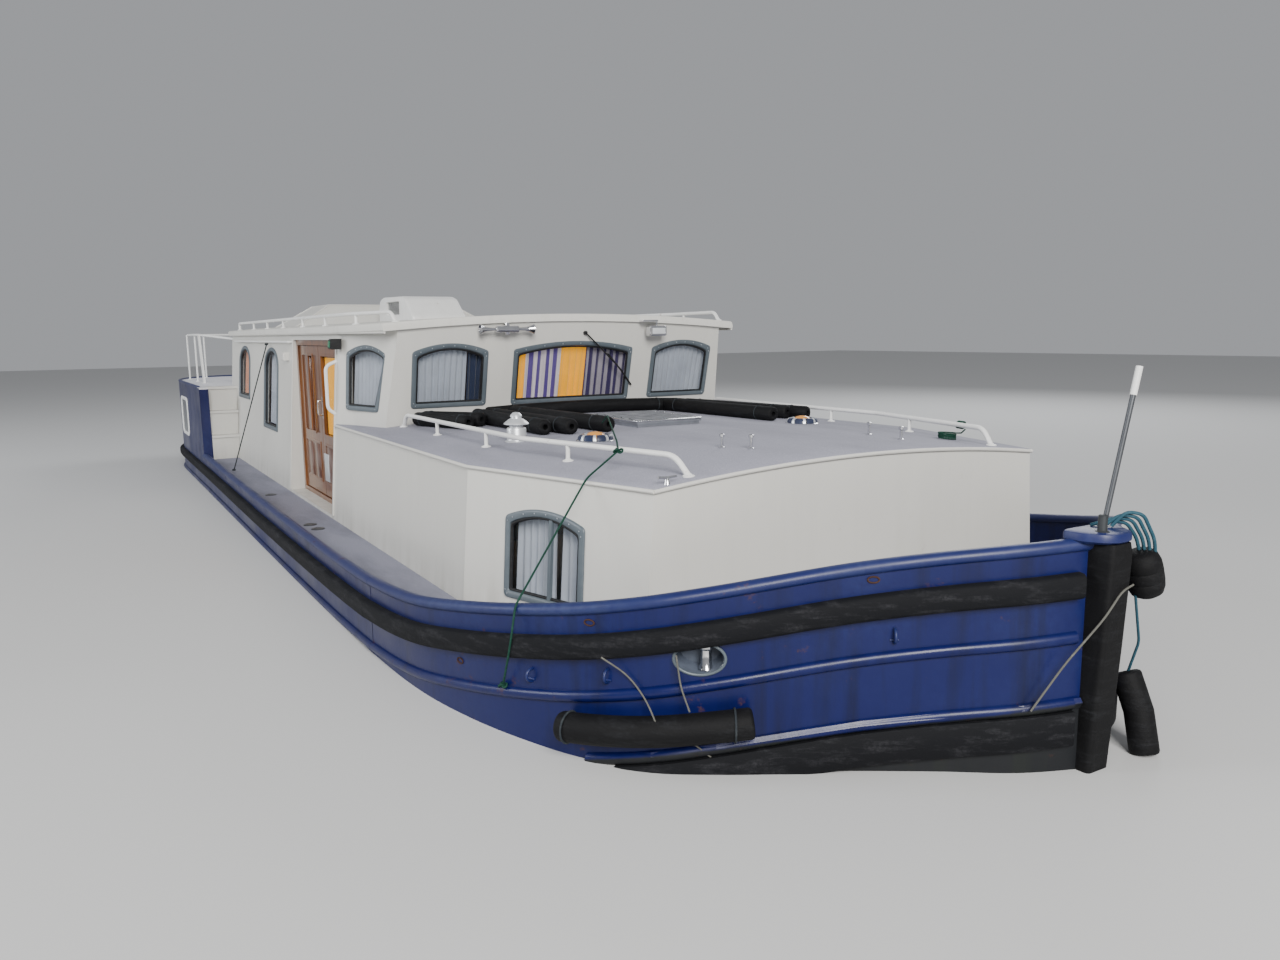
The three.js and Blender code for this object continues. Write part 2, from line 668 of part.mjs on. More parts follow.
function houseWalls() {
  const outer = solidOf(houseLoft(0, seat, houseTop + houseCamber + 40));
  const inner = solidOf(houseLoft(wallThick, -50, houseTop + houseCamber + 90));
  let walls = outer.subtract(inner);
  for (const side of [-1, 1]) {
    const [linerOut, linerIn] = [side * (cabinHalf + 50), side * (doorFaceY - doorFrameDeep)];
    const [low, high] = [deckZ - 50, deckZ + houseTop + 90];
    const liner = box(doorFore + wallThick, doorAft - wallThick, linerOut, linerIn, low, high);
    walls = walls.add(outer.intersect(solidOf(liner)));
  }
  for (const side of [-1, 1]) {
    const opening = box(doorFore, doorAft, side * (cabinHalf + 90), side * (doorFaceY - doorFrameDeep - 30),
      deckZ + doorSill, deckZ + doorHead);
    walls = walls.subtract(solidOf(opening));
    archedSlots.forEach((slot) => {
      walls = walls.subtract(solidOf(slotCutter(side, slot)));
    });
  }
  const middle = (x, y) => houseCrown(y) + houseRoofThick / 2;
  const above = camberedSheet([[0, 2400], [-12000, 2400]], () => 4000, middle);
  const below = box(seamX, 0, -2400, 2400, 0, deckZ + cabinRoofEdge - 12);
  walls = walls.subtract(solidOf(above)).subtract(houseSheet(-seat, houseRoofThick + seat, 60));
  walls = walls.subtract(solidOf(below)).subtract(cabinBed);
  windowTable.filter((entry) => !entry.name.includes('cabin')).forEach((entry) => {
    walls = walls.subtract(solidOf(windowForm(entry, seat, -200, 200)));
  });
  return geometryOf(walls);
}

function cabinWalls() {
  const outer = leaningPrism(cabinPlan, seat, cabinRoofEdge + cabinCamber + 60);
  const inner = leaningPrism(cabinInner, -50, cabinRoofEdge + cabinCamber + 100);
  const above = camberedSheet([[200, 2400], [cabinCornerX, 2400], [seamX - 100, 2400]], () => 4000,
    (x, y) => cabinCrown(Math.min(x, 0), y) - roofSkin / 2);
  const roof = camberedSheet(cabinRoofStations(seamX - 50), (x, y) => cabinCrown(x, y) + seat,
    (x, y) => cabinCrown(x, y) - roofSkin - seat);
  const panes = windowTable.filter((entry) => entry.name.includes('cabin'));
  return cut(outer, inner, above, roof, ...panes.map((entry) => windowForm(entry, seat, -200, 200)));
}

// The largest piece of some walls inside plan limits
function within(geometry, [x0, x1, y0, y1]) {
  const pieces = solidOf(geometry).intersect(solidOf(box(x0, x1, y0, y1, 0, deckZ + 4000))).decompose();
  return geometryOf(pieces.sort((a, b) => b.volume() - a.volume())[0]);
}

// Doors
function doorFrame(side) {
  const y0 = side * doorFaceY;
  const y1 = side * (doorFaceY - doorFrameDeep);
  const [low, high] = [deckZ + doorSill + seat, deckZ + doorHead - seat];
  const outer = box(doorFore - seat, doorAft + seat, y0, y1, low, high);
  const inner = box(doorFore - jambWide, doorAft + jambWide, y0 + side * 20, y1 - side * 20,
    deckZ + doorSill + 40, deckZ + doorHead - headWide);
  return cut(outer, inner);
}

function doorLeaf(side, xFore, xAft, xHinge) {
  const y0 = side * (doorFaceY - leafSetback);
  const y1 = side * (doorFaceY - leafSetback - leafThick);
  const bottom = deckZ + doorSill + 40 + leafGap;
  const top = deckZ + doorHead - headWide - leafGap;
  const leaf = box(xFore, xAft, y0, y1, bottom, top);
  const stile = 95;
  const glazed = box(xFore - stile, xAft + stile, y0 + side * 20, y1 - side * 20, bottom + 560, top - 85);
  const pin = rod([xHinge, y1, bottom - leafGap + seat], [xHinge, y1, top + leafGap - seat], 4);
  return join(cut(leaf, glazed), pin);
}

// Rails with feet. path's columns: x, y, z; feet's columns: x, y, foot z
function railing(path, feet, radius, footRadius = radius * 0.8) {
  const bars = [bentBar(path, radius)];
  feet.forEach(([x, y, foot, top]) => bars.push(rod([x, y, foot], [x, y, top], footRadius, 6)));
  return join(...bars);
}

function houseRail(side) {
  const y = side * 1590;
  const top = deckZ + houseTop + houseRoofThick + 95;
  const foot = deckZ + houseTop + houseRoofThick - 5;
  const path = [[-9700, y, foot], [-9700, y, top], [-4300, y, top], [-3480, side * 1470, top],
    [-3400, side * 1460, foot]];
  const feet = [-8654, -7784, -6887, -5951, -5040].map((x) => [x, y, foot, top]);
  feet.push([-4115, side * 1563, foot, top]);
  return onHouseRoof(railing(path, feet, 15, 13));
}

function cabinRail(side) {
  const foot = deckZ + cabinRoofEdge - 10;
  const top = (x, y) => deckZ + cabinCrown(x, y) + 95;
  // Columns: x, half-breadth
  const run = [[-3390, 1415], [-1350, 1395], [-165, 1100]];
  const path = run.map(([x, y]) => [x, side * y, top(x, y)]);
  path.push([-82, side * 1075, foot]);
  path.unshift([-3470, side * 1415, foot]);
  const feet = [[-2718, 1410], [-1840, 1402], [-937, 1292]].map(([x, y]) => [x, side * y, foot, top(x, y) - 4]);
  return onCabinRoof(railing(path, feet, 15, 13));
}

const hatchBase = deckZ + cabinRoofEdge + cabinCamber + hatch.rise;

function hatchCoaming() {
  const outer = hatchBlock(0, deckZ + cabinRoofEdge + 20, hatchBase);
  return onCabinRoof(cut(outer, hatchBlock(-hatch.wall, deckZ, hatchBase + 50)));
}

function hatchLid() {
  const { x, y, halfLong, halfWide, lid } = hatch;
  const base = hatchBase + seat;
  const plate = hatchBlock(12, base, base + lid * 0.5);
  const slats = [-2, -1, 0, 1, 2].map((n) => box(x + n * 128 - 44, x + n * 128 + 44, y - halfWide + 10,
    y + halfWide - 10, base + 8, base + lid));
  return join(plate, ...slats);
}

// Round-bodied fittings turned about an upright axis. Columns: radius, height
function turned(profile, x, y, z, sides = 14) {
  const form = new THREE.LatheGeometry(profile.map(([r, h]) => new THREE.Vector2(r, h)), sides);
  return form.rotateX(Math.PI / 2).translate(x, y, z);
}

const flue = { x: -1900, y: -1172 };
const flueProfile = [[0, 0], [62, 0], [62, 82], [46, 88], [46, 92], [78, 98], [50, 128], [32, 132], [32, 142],
  [60, 148], [30, 180], [0, 188]];

// Roof unit: a low rounded case that slopes down forward
function roofUnit() {
  const foot = deckZ + houseTop + houseRoofThick;
  // Columns: x, height
  const profile = [
    [-7890, 0], [-6620, 0], [-6620, 125], [-6860, 318], [-6980, 352], [-7700, 362], [-7830, 330], [-7890, 240],
  ];
  const shape = new THREE.Shape(profile.map(([x, z]) => new THREE.Vector2(x, z + foot)));
  const form = new THREE.ExtrudeGeometry(shape, { depth: 610, bevelEnabled: false });
  return onHouseRoof(form.rotateX(Math.PI / 2).translate(0, 310, 0));
}

function skylight() {
  const foot = deckZ + houseTop + 40;
  const top = deckZ + houseTop + houseCamber + houseRoofThick + 210;
  const ring = (x0, x1, half, z) => [[x0, -half], [x1, -half], [x1, half], [x0, half]]
    .map(([x, y]) => new THREE.Vector3(x, y, z));
  return onHouseRoof(loft([ring(-9420, -8080, 1300, foot), ring(-9200, -8300, 785, top)]));
}

// Double trumpet horn on the roof's front edge
function horn() {
  const y = -612;
  const z = deckZ + 1540;
  const x = houseRoofFront + 40;
  const bracket = box(houseRoofFront + seat, x + 10, y - 14, y + 14, z - 45, z + 62);
  const body = rod([x, y - 90, z], [x, y + 90, z], 22, 10);
  const bell = (way) => {
    const profile = [[0, 0], [12, 0], [14, 70], [22, 105], [38, 132], [38, 140], [0, 140]];
    const form = new THREE.LatheGeometry(profile.map(([r, h]) => new THREE.Vector2(r, h)), 10);
    if (way < 0) form.rotateZ(Math.PI);
    return form.translate(x, y + way * 85, z);
  };
  return join(bracket, body, bell(1), bell(-1));
}

function searchlight() {
  const y = 740;
  const x = houseRoofFront + 70;
  const top = deckZ + houseCrown(y) + 14;
  const arm = box(houseRoofFront + seat, x, y - 140, y + 12, top - 9, top + 9);
  const stem = rod([x - 12, y, top], [x - 12, y, top - 60], 9, 8);
  const bowl = box(x - 60, x + 30, y - 82, y + 82, top - 128, top - 40);
  return join(arm, stem, bowl);
}

// White grab handle on the door's fore jamb
function doorHandle(side) {
  const wallY = (z) => side * (cabinHalf - lean * z - 8);
  const x = seamX - 22;
  const out = side * 1775;
  const bar = bentBar([[x, wallY(870), deckZ + 870], [x, out, deckZ + 920], [x, out, deckZ + 1260],
    [x, wallY(1300), deckZ + 1300]], 14);
  return cut(bar, houseLoft(-seat, 0, 1600));
}

// Rail round the aft deck
function aftRail() {
  const top = deckZ + 1540;
  const foot = deckZ + sternRise + seat;
  // Columns: x, half-breadth, height
  const half = [[wheelhouseAft + 10, 1650, top - 62], [-10790, 1960, top], [-12050, 1985, top],
    [-12560, 1700, top], [-12800, 900, top]];
  const path = [...half.map(([x, y, z]) => [x, -y, z]), ...half.map(([x, y, z]) => [x, y, z]).reverse()];
  const bars = [bentBar(path, 15)];
  for (const side of [-1, 1]) {
    for (const [x, y] of [[-11200, 1968], [-12050, 1985], [-12560, 1700], [-12800, 900]]) {
      bars.push(rod([x, side * y, foot], [x, side * y, top], 13, 6));
    }
    const post = [[-10610, foot], [-10850, top], [-10762, top], [-10522, foot]];
    bars.push(loft([1946, 1972].map((y) => post.map(([x, z]) => new THREE.Vector3(x, side * y, z)))));
  }
  return cut(join(...bars), houseLoft(-seat, 0, 1900));
}

// Stern gear
const shaftZ = 320;
const propX = -12250;
const rudderX = -12720;

function skeg() {
  const bar = box(-10600, rudderX - 60, -30, 30, 6, 42);
  const post = box(-10600, -10560, -30, 30, 6, 60);
  const tube = rod([propX + 62, 0, shaftZ], [-11250, 0, shaftZ], 48, 14);
  const strut = box(-12060, -11800, -14, 14, 30, shaftZ);
  const hullForm = solidOf(hullSolid());
  const whole = solidOf(join(bar, post, tube, strut));
  return geometryOf(whole.subtract(hullForm));
}

function propeller() {
  const parts = [rod([propX - 60, 0, shaftZ], [propX + 62 - seat, 0, shaftZ], 52, 16)];
  parts.push(rod([propX - 110, 0, shaftZ], [propX - 50, 0, shaftZ], 28, 12));
  for (let n = 0; n < 4; n++) {
    const blade = new THREE.SphereGeometry(1, 10, 6);
    blade.scale(13, 95, 115).translate(0, 0, 135);
    const pitch = new THREE.Matrix4().makeRotationZ(0.6);
    blade.applyMatrix4(pitch);
    blade.rotateX(n * Math.PI / 2).translate(propX, 0, shaftZ);
    parts.push(blade);
  }
  return join(...parts);
}

function rudder() {
  const blade = prism([[rudderX + 130, -12], [rudderX + 150, 0], [rudderX + 130, 12], [rudderX, 30],
    [rudderX - 300, 8], [rudderX - 300, -8], [rudderX, -30]], 75, 560);
  const stock = rod([rudderX, 0, 42 + seat], [rudderX, 0, counterZ - seat], 28, 14);
  return join(blade, stock);
}

// Loose gear that the boat carries
function stowedFenders() {
  // Columns: one end's x and y, the other end's x and y
  const bars = [
    [-3205, -850, -3160, 870], [-3420, -1330, -2780, -1150], [-3440, -1265, -2850, -1020],
    [-3190, -935, -1985, -928], [-3160, -840, -1865, -800], [-3150, -640, -1785, -570],
    [-3150, 735, -1845, 850], [-3130, 830, -2085, 1185], [-3110, 905, -2010, 1325],
  ];
  const wide = 106;
  const half = wide / 2;
  const section = [[-half, 0], [half, 0], [half, wide * 0.68], [half * 0.62, wide], [-half * 0.62, wide],
    [-half, wide * 0.68]];
  return onCabinRoof(...bars.map(([x0, y0, x1, y1]) => {
    const across = new THREE.Vector2(y0 - y1, x1 - x0).normalize();
    return loft([0, 0.25, 0.5, 0.75, 1].map((share) => {
      const x = x0 + (x1 - x0) * share;
      const y = y0 + (y1 - y0) * share;
      const z = deckZ + cabinCrown(x, y) - 4;
      return section.map(([out, up]) => new THREE.Vector3(x + across.x * out, y + across.y * out, z + up));
    }));
  }));
}

// Floor, engine and helm
const floorAft = 720;
const floorFore = 300;

function cabinFloor() {
  const profile = [[-1410, floorFore - 20], [-1410, floorFore], [-4170, floorFore], [-4170, floorAft],
    [wellAft + 1, floorAft], [wellAft + 1, floorAft - 20], [-4190, floorAft - 20], [-4190, floorFore - 20]];
  const shape = new THREE.Shape(profile.map(([x, z]) => new THREE.Vector2(x, z)));
  const form = new THREE.ExtrudeGeometry(shape, { depth: 2999.4, bevelEnabled: false });
  return form.rotateX(Math.PI / 2).translate(0, 1499.7, 0);
}

const helm = { x: -4540, z: 1670, rim: 225 };

function helmWheel() {
  const tube = [...Array(6).keys()].map((k) => {
    const turn = k * Math.PI / 3;
    return new THREE.Vector2(helm.rim + 14 * Math.cos(turn), 14 * Math.sin(turn));
  });
  tube.push(tube[0].clone());
  const rim = new THREE.LatheGeometry(tube, 24).rotateZ(Math.PI / 2);
  const parts = [rim, rod([-18, 0, 0], [80 - seat, 0, 0], 38, 12)];
  for (let n = 0; n < 6; n++) {
    const turn = n * Math.PI / 3;
    parts.push(rod([0, 0, 0], [0, Math.cos(turn) * (helm.rim + 60), Math.sin(turn) * (helm.rim + 60)], 9, 6));
  }
  return join(...parts).translate(helm.x, 0, helm.z);
}

// Assembly
add('hull', hullSolid(), paint.hullBlue);
add('bulwark', bulwark(), paint.hullBlue);
add('rub_band', bothSides(bandSection, sheerAt, pastStem), paint.timber);
add('upper_ledge', bothSides(ledgeSection, upperLevel, pastStem), paint.hullBlue);
add('hung_fender', hungFender(), paint.black);
add('aft_deck', aftDeck(), paint.white);
add('deck_plate', deckSolid(), paint.deckGrey);
add('cap_rail', capRail(), paint.capBlue);
add('stem_fender', stemFender(), paint.black);
add('aft_body', aftBody(hullTop + seat, deckZ + sternRise - aftPlate), paint.hullBlue);
add('fore_cabin_front', within(cabinWalls(), [cabinCornerX + 0.1, 200, -3000, 3000]), paint.cream);
add('fore_cabin_roof', cabinRoof(), paint.roofGrey);
add('wheelhouse_front', within(houseWalls(), [seamX + 0.1, 0, -3000, 3000]), paint.cream);
const aftWallBlock = [wheelhouseAft - 50, wheelhouseAft + wallThick, -3000, 3000];
add('wheelhouse_aft_wall', within(houseWalls(), aftWallBlock), paint.cream);
add('wheelhouse_roof', houseRoof(), paint.cream);
add('cabin_floor', cabinFloor(), paint.floor);
add('engine_block', box(-8300, -6900, -380, 380, wellFloor + seat, 690), paint.engine);
add('helm_console', box(-4460, -4240, -350, 350, floorAft + seat, 1840), paint.wood);
add('helm_wheel', helmWheel(), paint.wood);
add('hatch_coaming', hatchCoaming(), paint.aluminium);
add('hatch_lid', hatchLid(), paint.aluminium);
const flueFoot = deckZ + cabinCrown(flue.x, flue.y) - 4;
add('flue', onCabinRoof(turned(flueProfile, flue.x, flue.y, flueFoot)), paint.white);
add('roof_unit', roofUnit(), paint.white);
add('skylight', skylight(), paint.cream);
add('horn', horn(), paint.chrome);
add('searchlight', searchlight(), paint.chrome);
add('aft_rail', aftRail(), paint.white);
add('skeg', skeg(), paint.steel);
add('propeller', propeller(), paint.bronze);
add('rudder', rudder(), paint.steel);
add('stowed_fenders', stowedFenders(), paint.black);
windowTable.forEach((entry) => add(entry.name, windowUnit(entry), paint.frameGrey));
for (const side of [-1, 1]) {
  const name = side < 0 ? 'starboard' : 'port';
  const reach = [Math.min(0, side * 3000), Math.max(0, side * 3000)];
  const cabinReach = [seamX - 50, cabinCornerX - seat, ...reach];
  add(`fore_cabin_side_${name}`, within(cabinWalls(), cabinReach), paint.cream);
  const houseReach = [wheelhouseAft + wallThick + seat, seamX - seat, ...reach];
  add(`wheelhouse_side_${name}`, within(houseWalls(), houseReach), paint.cream);
  add(`steps_${name}`, steps(side), paint.cream);
  add(`door_frame_${name}`, doorFrame(side), paint.wood);
  const hinges = [doorFore - jambWide - leafGap, doorAft + jambWide + leafGap];
  add(`door_fore_leaf_${name}`, doorLeaf(side, hinges[0], doorMeet + 4, hinges[0]), paint.wood);
  add(`door_aft_leaf_${name}`, doorLeaf(side, doorMeet - 4, hinges[1], hinges[1]), paint.wood);
  add(`door_handle_${name}`, doorHandle(side), paint.white);
  add(`wheelhouse_rail_${name}`, houseRail(side), paint.white);
  add(`cabin_rail_${name}`, cabinRail(side), paint.white);
}

export default house;
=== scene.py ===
# Looks for the houseboat: smooth plating, worn paint, glass, curtains, woodwork and deck gear.
# Metres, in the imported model's own frame. Stations are measured forward from the fore cabin's front wall.
import math

import bmesh
import bpy
from mathutils import Matrix, Vector


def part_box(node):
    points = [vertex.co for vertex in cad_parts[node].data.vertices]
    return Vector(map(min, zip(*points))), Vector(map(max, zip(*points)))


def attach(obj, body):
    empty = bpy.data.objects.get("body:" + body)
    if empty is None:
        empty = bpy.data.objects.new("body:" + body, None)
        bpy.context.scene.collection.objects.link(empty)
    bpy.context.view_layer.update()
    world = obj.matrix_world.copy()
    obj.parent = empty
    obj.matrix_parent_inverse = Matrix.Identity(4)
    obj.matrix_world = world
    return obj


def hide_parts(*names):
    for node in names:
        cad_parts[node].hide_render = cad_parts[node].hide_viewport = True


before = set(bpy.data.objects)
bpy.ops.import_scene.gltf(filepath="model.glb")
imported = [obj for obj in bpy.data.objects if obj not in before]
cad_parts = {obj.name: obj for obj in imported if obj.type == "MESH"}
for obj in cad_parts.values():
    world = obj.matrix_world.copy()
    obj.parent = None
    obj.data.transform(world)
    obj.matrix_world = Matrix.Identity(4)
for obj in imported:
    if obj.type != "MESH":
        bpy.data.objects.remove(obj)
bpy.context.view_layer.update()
scene = bpy.context.scene

deck, waterline = 1.100, 0.750  # heights of the side deck and of the water
frontWall = 5.820  # how far forward of the frame's origin the fore cabin's front wall stands
aftDeckHeight = deck + 0.890
plateFoot = 0.660  # lowest edge of the smooth plates over the hull
lap, sink = 0.0012, 0.0002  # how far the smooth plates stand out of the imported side, and reach into it
seat = 0.0003  # gap between a dressed piece and what it lies on
weld = 1e-5  # points nearer to each other than this become one
bothSides = ((-1, "starboard"), (1, "port"))
houseWall = {"half": 1.780, "lean": -0.075}  # half-breadth at the deck, and how it leans for each metre up


def station(s):
    return s + frontWall


# a point from its station, its distance to port and its height
def spot(s, y, z):
    return Vector((station(s), y, z))


# angles that go once round
def round360(count):
    return [2 * math.pi * n / count for n in range(count)]


print("frame loaded")

# Small mesh tools


def newMesh(name, points, faces):
    mesh = bpy.data.meshes.new(name)
    mesh.from_pydata([tuple(p) for p in points], [], faces)
    return mesh


def newObject(name, data):
    made = bpy.data.objects.new(name, data)
    scene.collection.objects.link(made)
    return made


def cleanMesh(mesh, closed=True):
    builder = bmesh.new()
    builder.from_mesh(mesh)
    bmesh.ops.remove_doubles(builder, verts=builder.verts, dist=weld)
    if closed:
        bmesh.ops.recalc_face_normals(builder, faces=builder.faces)
    builder.to_mesh(mesh)
    builder.free()


# shape is one pair of points and faces or a list of such pairs, and look names a finish
def addPiece(name, shape, look, angle=35, body="boat", closed=True):
    points, faces = gather(shape) if isinstance(shape, list) else shape
    mesh = newMesh(name, points, faces)
    cleanMesh(mesh, closed)
    mesh.polygons.foreach_set("use_smooth", [True] * len(mesh.polygons))
    mesh.set_sharp_from_angle(angle=math.radians(angle))
    mesh.materials.append(finish[look])
    piece = newObject(name, mesh)
    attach(piece, body)
    return piece


def gather(parts):
    points, faces = [], []
    for partPoints, partFaces in parts:
        start = len(points)
        points += [Vector(p) for p in partPoints]
        faces += [tuple(i + start for i in face) for face in partFaces]
    return points, faces


# a skin over rings of points; its ends are capped unless the run closes on itself
def loft(rings, closedRun=False):
    count = len(rings[0])
    points = [Vector(p) for ring in rings for p in ring]
    faces = []
    for r in range(len(rings) if closedRun else len(rings) - 1):
        for k in range(count):
            a, b = r * count + k, r * count + (k + 1) % count
            c = ((r + 1) % len(rings)) * count
            faces.append((a, b, c + (k + 1) % count, c + k))
    if not closedRun:
        faces.append(tuple(range(count))[::-1])
        faces.append(tuple((len(rings) - 1) * count + k for k in range(count)))
    return points, faces


# a round bar along a path, or a ring where the path is closed
def tube(path, radius, sides, closed=False):
    path = [Vector(p) for p in path]
    count = len(path)
    ways = [(path[(i + 1) % count] - path[i]).normalized() for i in range(count if closed else count - 1)]
    guide = Vector((0, 0, 1)) if abs(ways[0].z) < 0.9 else Vector((1, 0, 0))
    side = (guide - ways[0] * guide.dot(ways[0])).normalized()
    rings = []
    for i, point in enumerate(path):
        into = ways[i - 1] if (i > 0 or closed) else ways[0]
        out = ways[i] if i < len(ways) else ways[-1]
        middle = (into + out).normalized()
        over = into.cross(side)
        ring = []
        for k in range(sides):
            turn = 2 * math.pi * (k + 0.5) / sides
            spoke = side * (radius * math.cos(turn)) + over * (radius * math.sin(turn))
            spoke -= into * (spoke.dot(middle) / into.dot(middle))
            ring.append(point + spoke)
        rings.append(ring)
        side = into.rotation_difference(out) @ side
    return loft(rings, closedRun=closed)


# a curve from start to end that heads for a corner
def arcTo(start, corner, end, steps):
    shares = [k / steps for k in range(steps + 1)]
    return [start * (1 - t) ** 2 + corner * 2 * t * (1 - t) + end * t * t for t in shares]


# no corner is sharper than the bend of a real tube
def roundCorners(path, radius, steps=5):
    path = [Vector(p) for p in path]
    result = [path[0]]
    for before, corner, after in zip(path, path[1:], path[2:]):
        into, out = (corner - before), (after - corner)
        reach = min(radius, into.length * 0.45, out.length * 0.45)
        start, end = corner - into.normalized() * reach, corner + out.normalized() * reach
        result += arcTo(start, corner, end, steps)
    return result + [path[-1]]


def slab(low, high, bevel=0.0, segments=2):
    builder = bmesh.new()
    bmesh.ops.create_cube(builder, size=1)
    size = Vector(high) - Vector(low)
    middle = (Vector(low) + Vector(high)) / 2
    bmesh.ops.scale(builder, vec=size, verts=builder.verts)
    bmesh.ops.translate(builder, vec=middle, verts=builder.verts)
    if bevel:
        bmesh.ops.bevel(builder, geom=builder.edges[:], offset=bevel, segments=segments, affect="EDGES",
                        profile=0.5)
    builder.verts.index_update()
    points = [v.co.copy() for v in builder.verts]
    faces = [tuple(v.index for v in f.verts) for f in builder.faces]
    builder.free()
    return points, faces


# profile's columns: radius, height along the axis
def turned(profile, foot, axis="Z", sides=28):
    rings = []
    for radius, height in profile:
        ring = []
        for turn in round360(sides):
            a, b = radius * math.cos(turn), radius * math.sin(turn)
            ring.append(Vector(foot) + Vector((a, b, height) if axis == "Z" else (b, height, a)))
        rings.append(ring)
    return loft(rings)


# a round bar bent into a ring about a centre, in the plane of two ways
def hoop(centre, across, up, radius, count):
    return tube([centre + across * math.cos(t) + up * math.sin(t) for t in round360(count)], radius, 8, closed=True)


# a mesh less some closed shapes
def carve(name, shape, cutters):
    made = []
    for label, (points, faces) in ((name + "Whole", shape), (name + "Tool", gather(cutters))):
        mesh = newMesh(label, points, faces)
        cleanMesh(mesh)
        made.append(newObject(label, mesh))
    whole, tool = made
    cut = whole.modifiers.new("opening", "BOOLEAN")
    cut.operation, cut.solver, cut.object = "DIFFERENCE", "EXACT", tool
    result = bpy.data.meshes.new_from_object(whole.evaluated_get(bpy.context.evaluated_depsgraph_get()))
    whole.modifiers.remove(cut)
    for shape in made:
        bpy.data.objects.remove(shape)
    return [v.co.copy() for v in result.vertices], [tuple(p.vertices) for p in result.polygons]


# a node tree that takes a mesh and some named values
def growTree(name, kinds):
    tree = bpy.data.node_groups.new(name, "GeometryNodeTree")
    tree.interface.new_socket("Geometry", in_out="INPUT", socket_type="NodeSocketGeometry")
    labels = {}
    for label, kind in kinds.items():
        socket = tree.interface.new_socket(label, in_out="INPUT", socket_type="NodeSocket" + kind)
        labels[label] = socket.identifier
    tree.interface.new_socket("Geometry", in_out="OUTPUT", socket_type="NodeSocketGeometry")
    return tree, labels, tree.nodes.new("NodeGroupInput").outputs


# copies on points made real, painted and given out
def closeTree(tree, given, copies):
    real = place(tree, "GeometryNodeRealizeInstances", {"Geometry": copies.outputs[0]})
    painted = place(tree, "GeometryNodeSetMaterial", {"Geometry": real.outputs[0], "Material": given["Finish"]})
    tree.links.new(painted.outputs[0], tree.nodes.new("NodeGroupOutput").inputs[0])


# low domed heads on the points of a mesh, each turned to its point's own way
def headsTree():
    tree, labels, given = growTree("fastenerHeads", {"Head Radius": "Float", "Head Height": "Float",
                                                     "Finish": "Material"})
    dome = place(tree, "GeometryNodeMeshUVSphere", {"Segments": 10, "Rings": 5, "Radius": 1.0})
    size = place(tree, "ShaderNodeCombineXYZ", {0: given["Head Radius"], 1: given["Head Radius"],
                                                2: given["Head Height"]})
    shaped = place(tree, "GeometryNodeTransform", {"Geometry": dome.outputs[0], "Scale": size.outputs[0]})
    way = place(tree, "GeometryNodeInputNamedAttribute", {"Name": "way"}, data_type="FLOAT_VECTOR")
    turn = place(tree, "FunctionNodeAlignRotationToVector", {"Vector": way.outputs[0]}, axis="Z")
    closeTree(tree, given, place(tree, "GeometryNodeInstanceOnPoints", {
        "Points": given["Geometry"], "Instance": shaped.outputs[0], "Rotation": turn.outputs[0]}))
    return tree, labels


# equal slats in a row
def slatsTree():
    tree, labels, given = growTree("slatRow", {"Count": "Int", "Start": "Vector", "Pitch": "Vector",
                                               "Size": "Vector", "Finish": "Material"})
    line = place(tree, "GeometryNodeMeshLine", {"Count": given["Count"], "Start Location": given["Start"],
                                                "Offset": given["Pitch"]})
    bar = place(tree, "GeometryNodeMeshCube", {"Size": given["Size"]})
    closeTree(tree, given, place(tree, "GeometryNodeInstanceOnPoints", {
        "Points": line.outputs[0], "Instance": bar.outputs[0]}))
    return tree, labels


# a mesh run through a node tree and kept as a plain one
def growMesh(name, mesh, tree, values):
    seedObject = newObject(name + "Seed", mesh)
    modifier = seedObject.modifiers.new("build", "NODES")
    modifier.node_group, labels = tree
    for label, value in values.items():
        modifier[labels[label]] = value
    result = bpy.data.meshes.new_from_object(seedObject.evaluated_get(bpy.context.evaluated_depsgraph_get()))
    result.name = name
    seedObject.modifiers.remove(modifier)
    bpy.data.objects.remove(seedObject)
    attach(newObject(name, result), "boat")


def addHeads(name, spots, radius, height, look):
    mesh = newMesh(name + "Points", [p for p, way in spots], [])
    ways = mesh.attributes.new("way", "FLOAT_VECTOR", "POINT")
    ways.data.foreach_set("vector", [c for p, way in spots for c in way.normalized()])
    growMesh(name, mesh, trees["heads"], {"Head Radius": radius, "Head Height": height, "Finish": finish[look]})


def addSlats(name, start, pitch, count, size, look):
    growMesh(name, newMesh(name + "Points", [(0, 0, 0)], []), trees["slats"], {
        "Count": count, "Start": [start[0] + size[0] / 2, start[1], start[2]], "Pitch": pitch, "Size": size,
        "Finish": finish[look]})


# smooth value of a two-column table whose first column falls
def smoothValue(table, x):
    if x >= table[0][0]:
        return table[0][1]
    if x <= table[-1][0]:
        return table[-1][1]
    slopes = [(b[1] - a[1]) / (b[0] - a[0]) for a, b in zip(table, table[1:])]
    for i, (a, b) in enumerate(zip(table, table[1:])):
        if a[0] >= x >= b[0]:
            before = slopes[max(i - 1, 0)]
            after = slopes[min(i + 1, len(slopes) - 1)]
            m0, m1 = (before + slopes[i]) / 2, (slopes[i] + after) / 2
            width = b[0] - a[0]
            t = (x - a[0]) / width
            return ((2 * t**3 - 3 * t**2 + 1) * a[1] + (t**3 - 2 * t**2 + t) * width * m0
                    + (-2 * t**3 + 3 * t**2) * b[1] + (t**3 - t**2) * width * m1)


print("mesh tools ready")

# Materials


def newMaterial(name):
    material = bpy.data.materials.new(name)
    material.use_nodes = True
    material.node_tree.nodes.clear()
    return material, material.node_tree


# a value set on a socket, or a link made to it
def feed(tree, socket, value):
    if isinstance(value, bpy.types.NodeSocket):
        tree.links.new(value, socket)
    else:
        socket.default_value = value


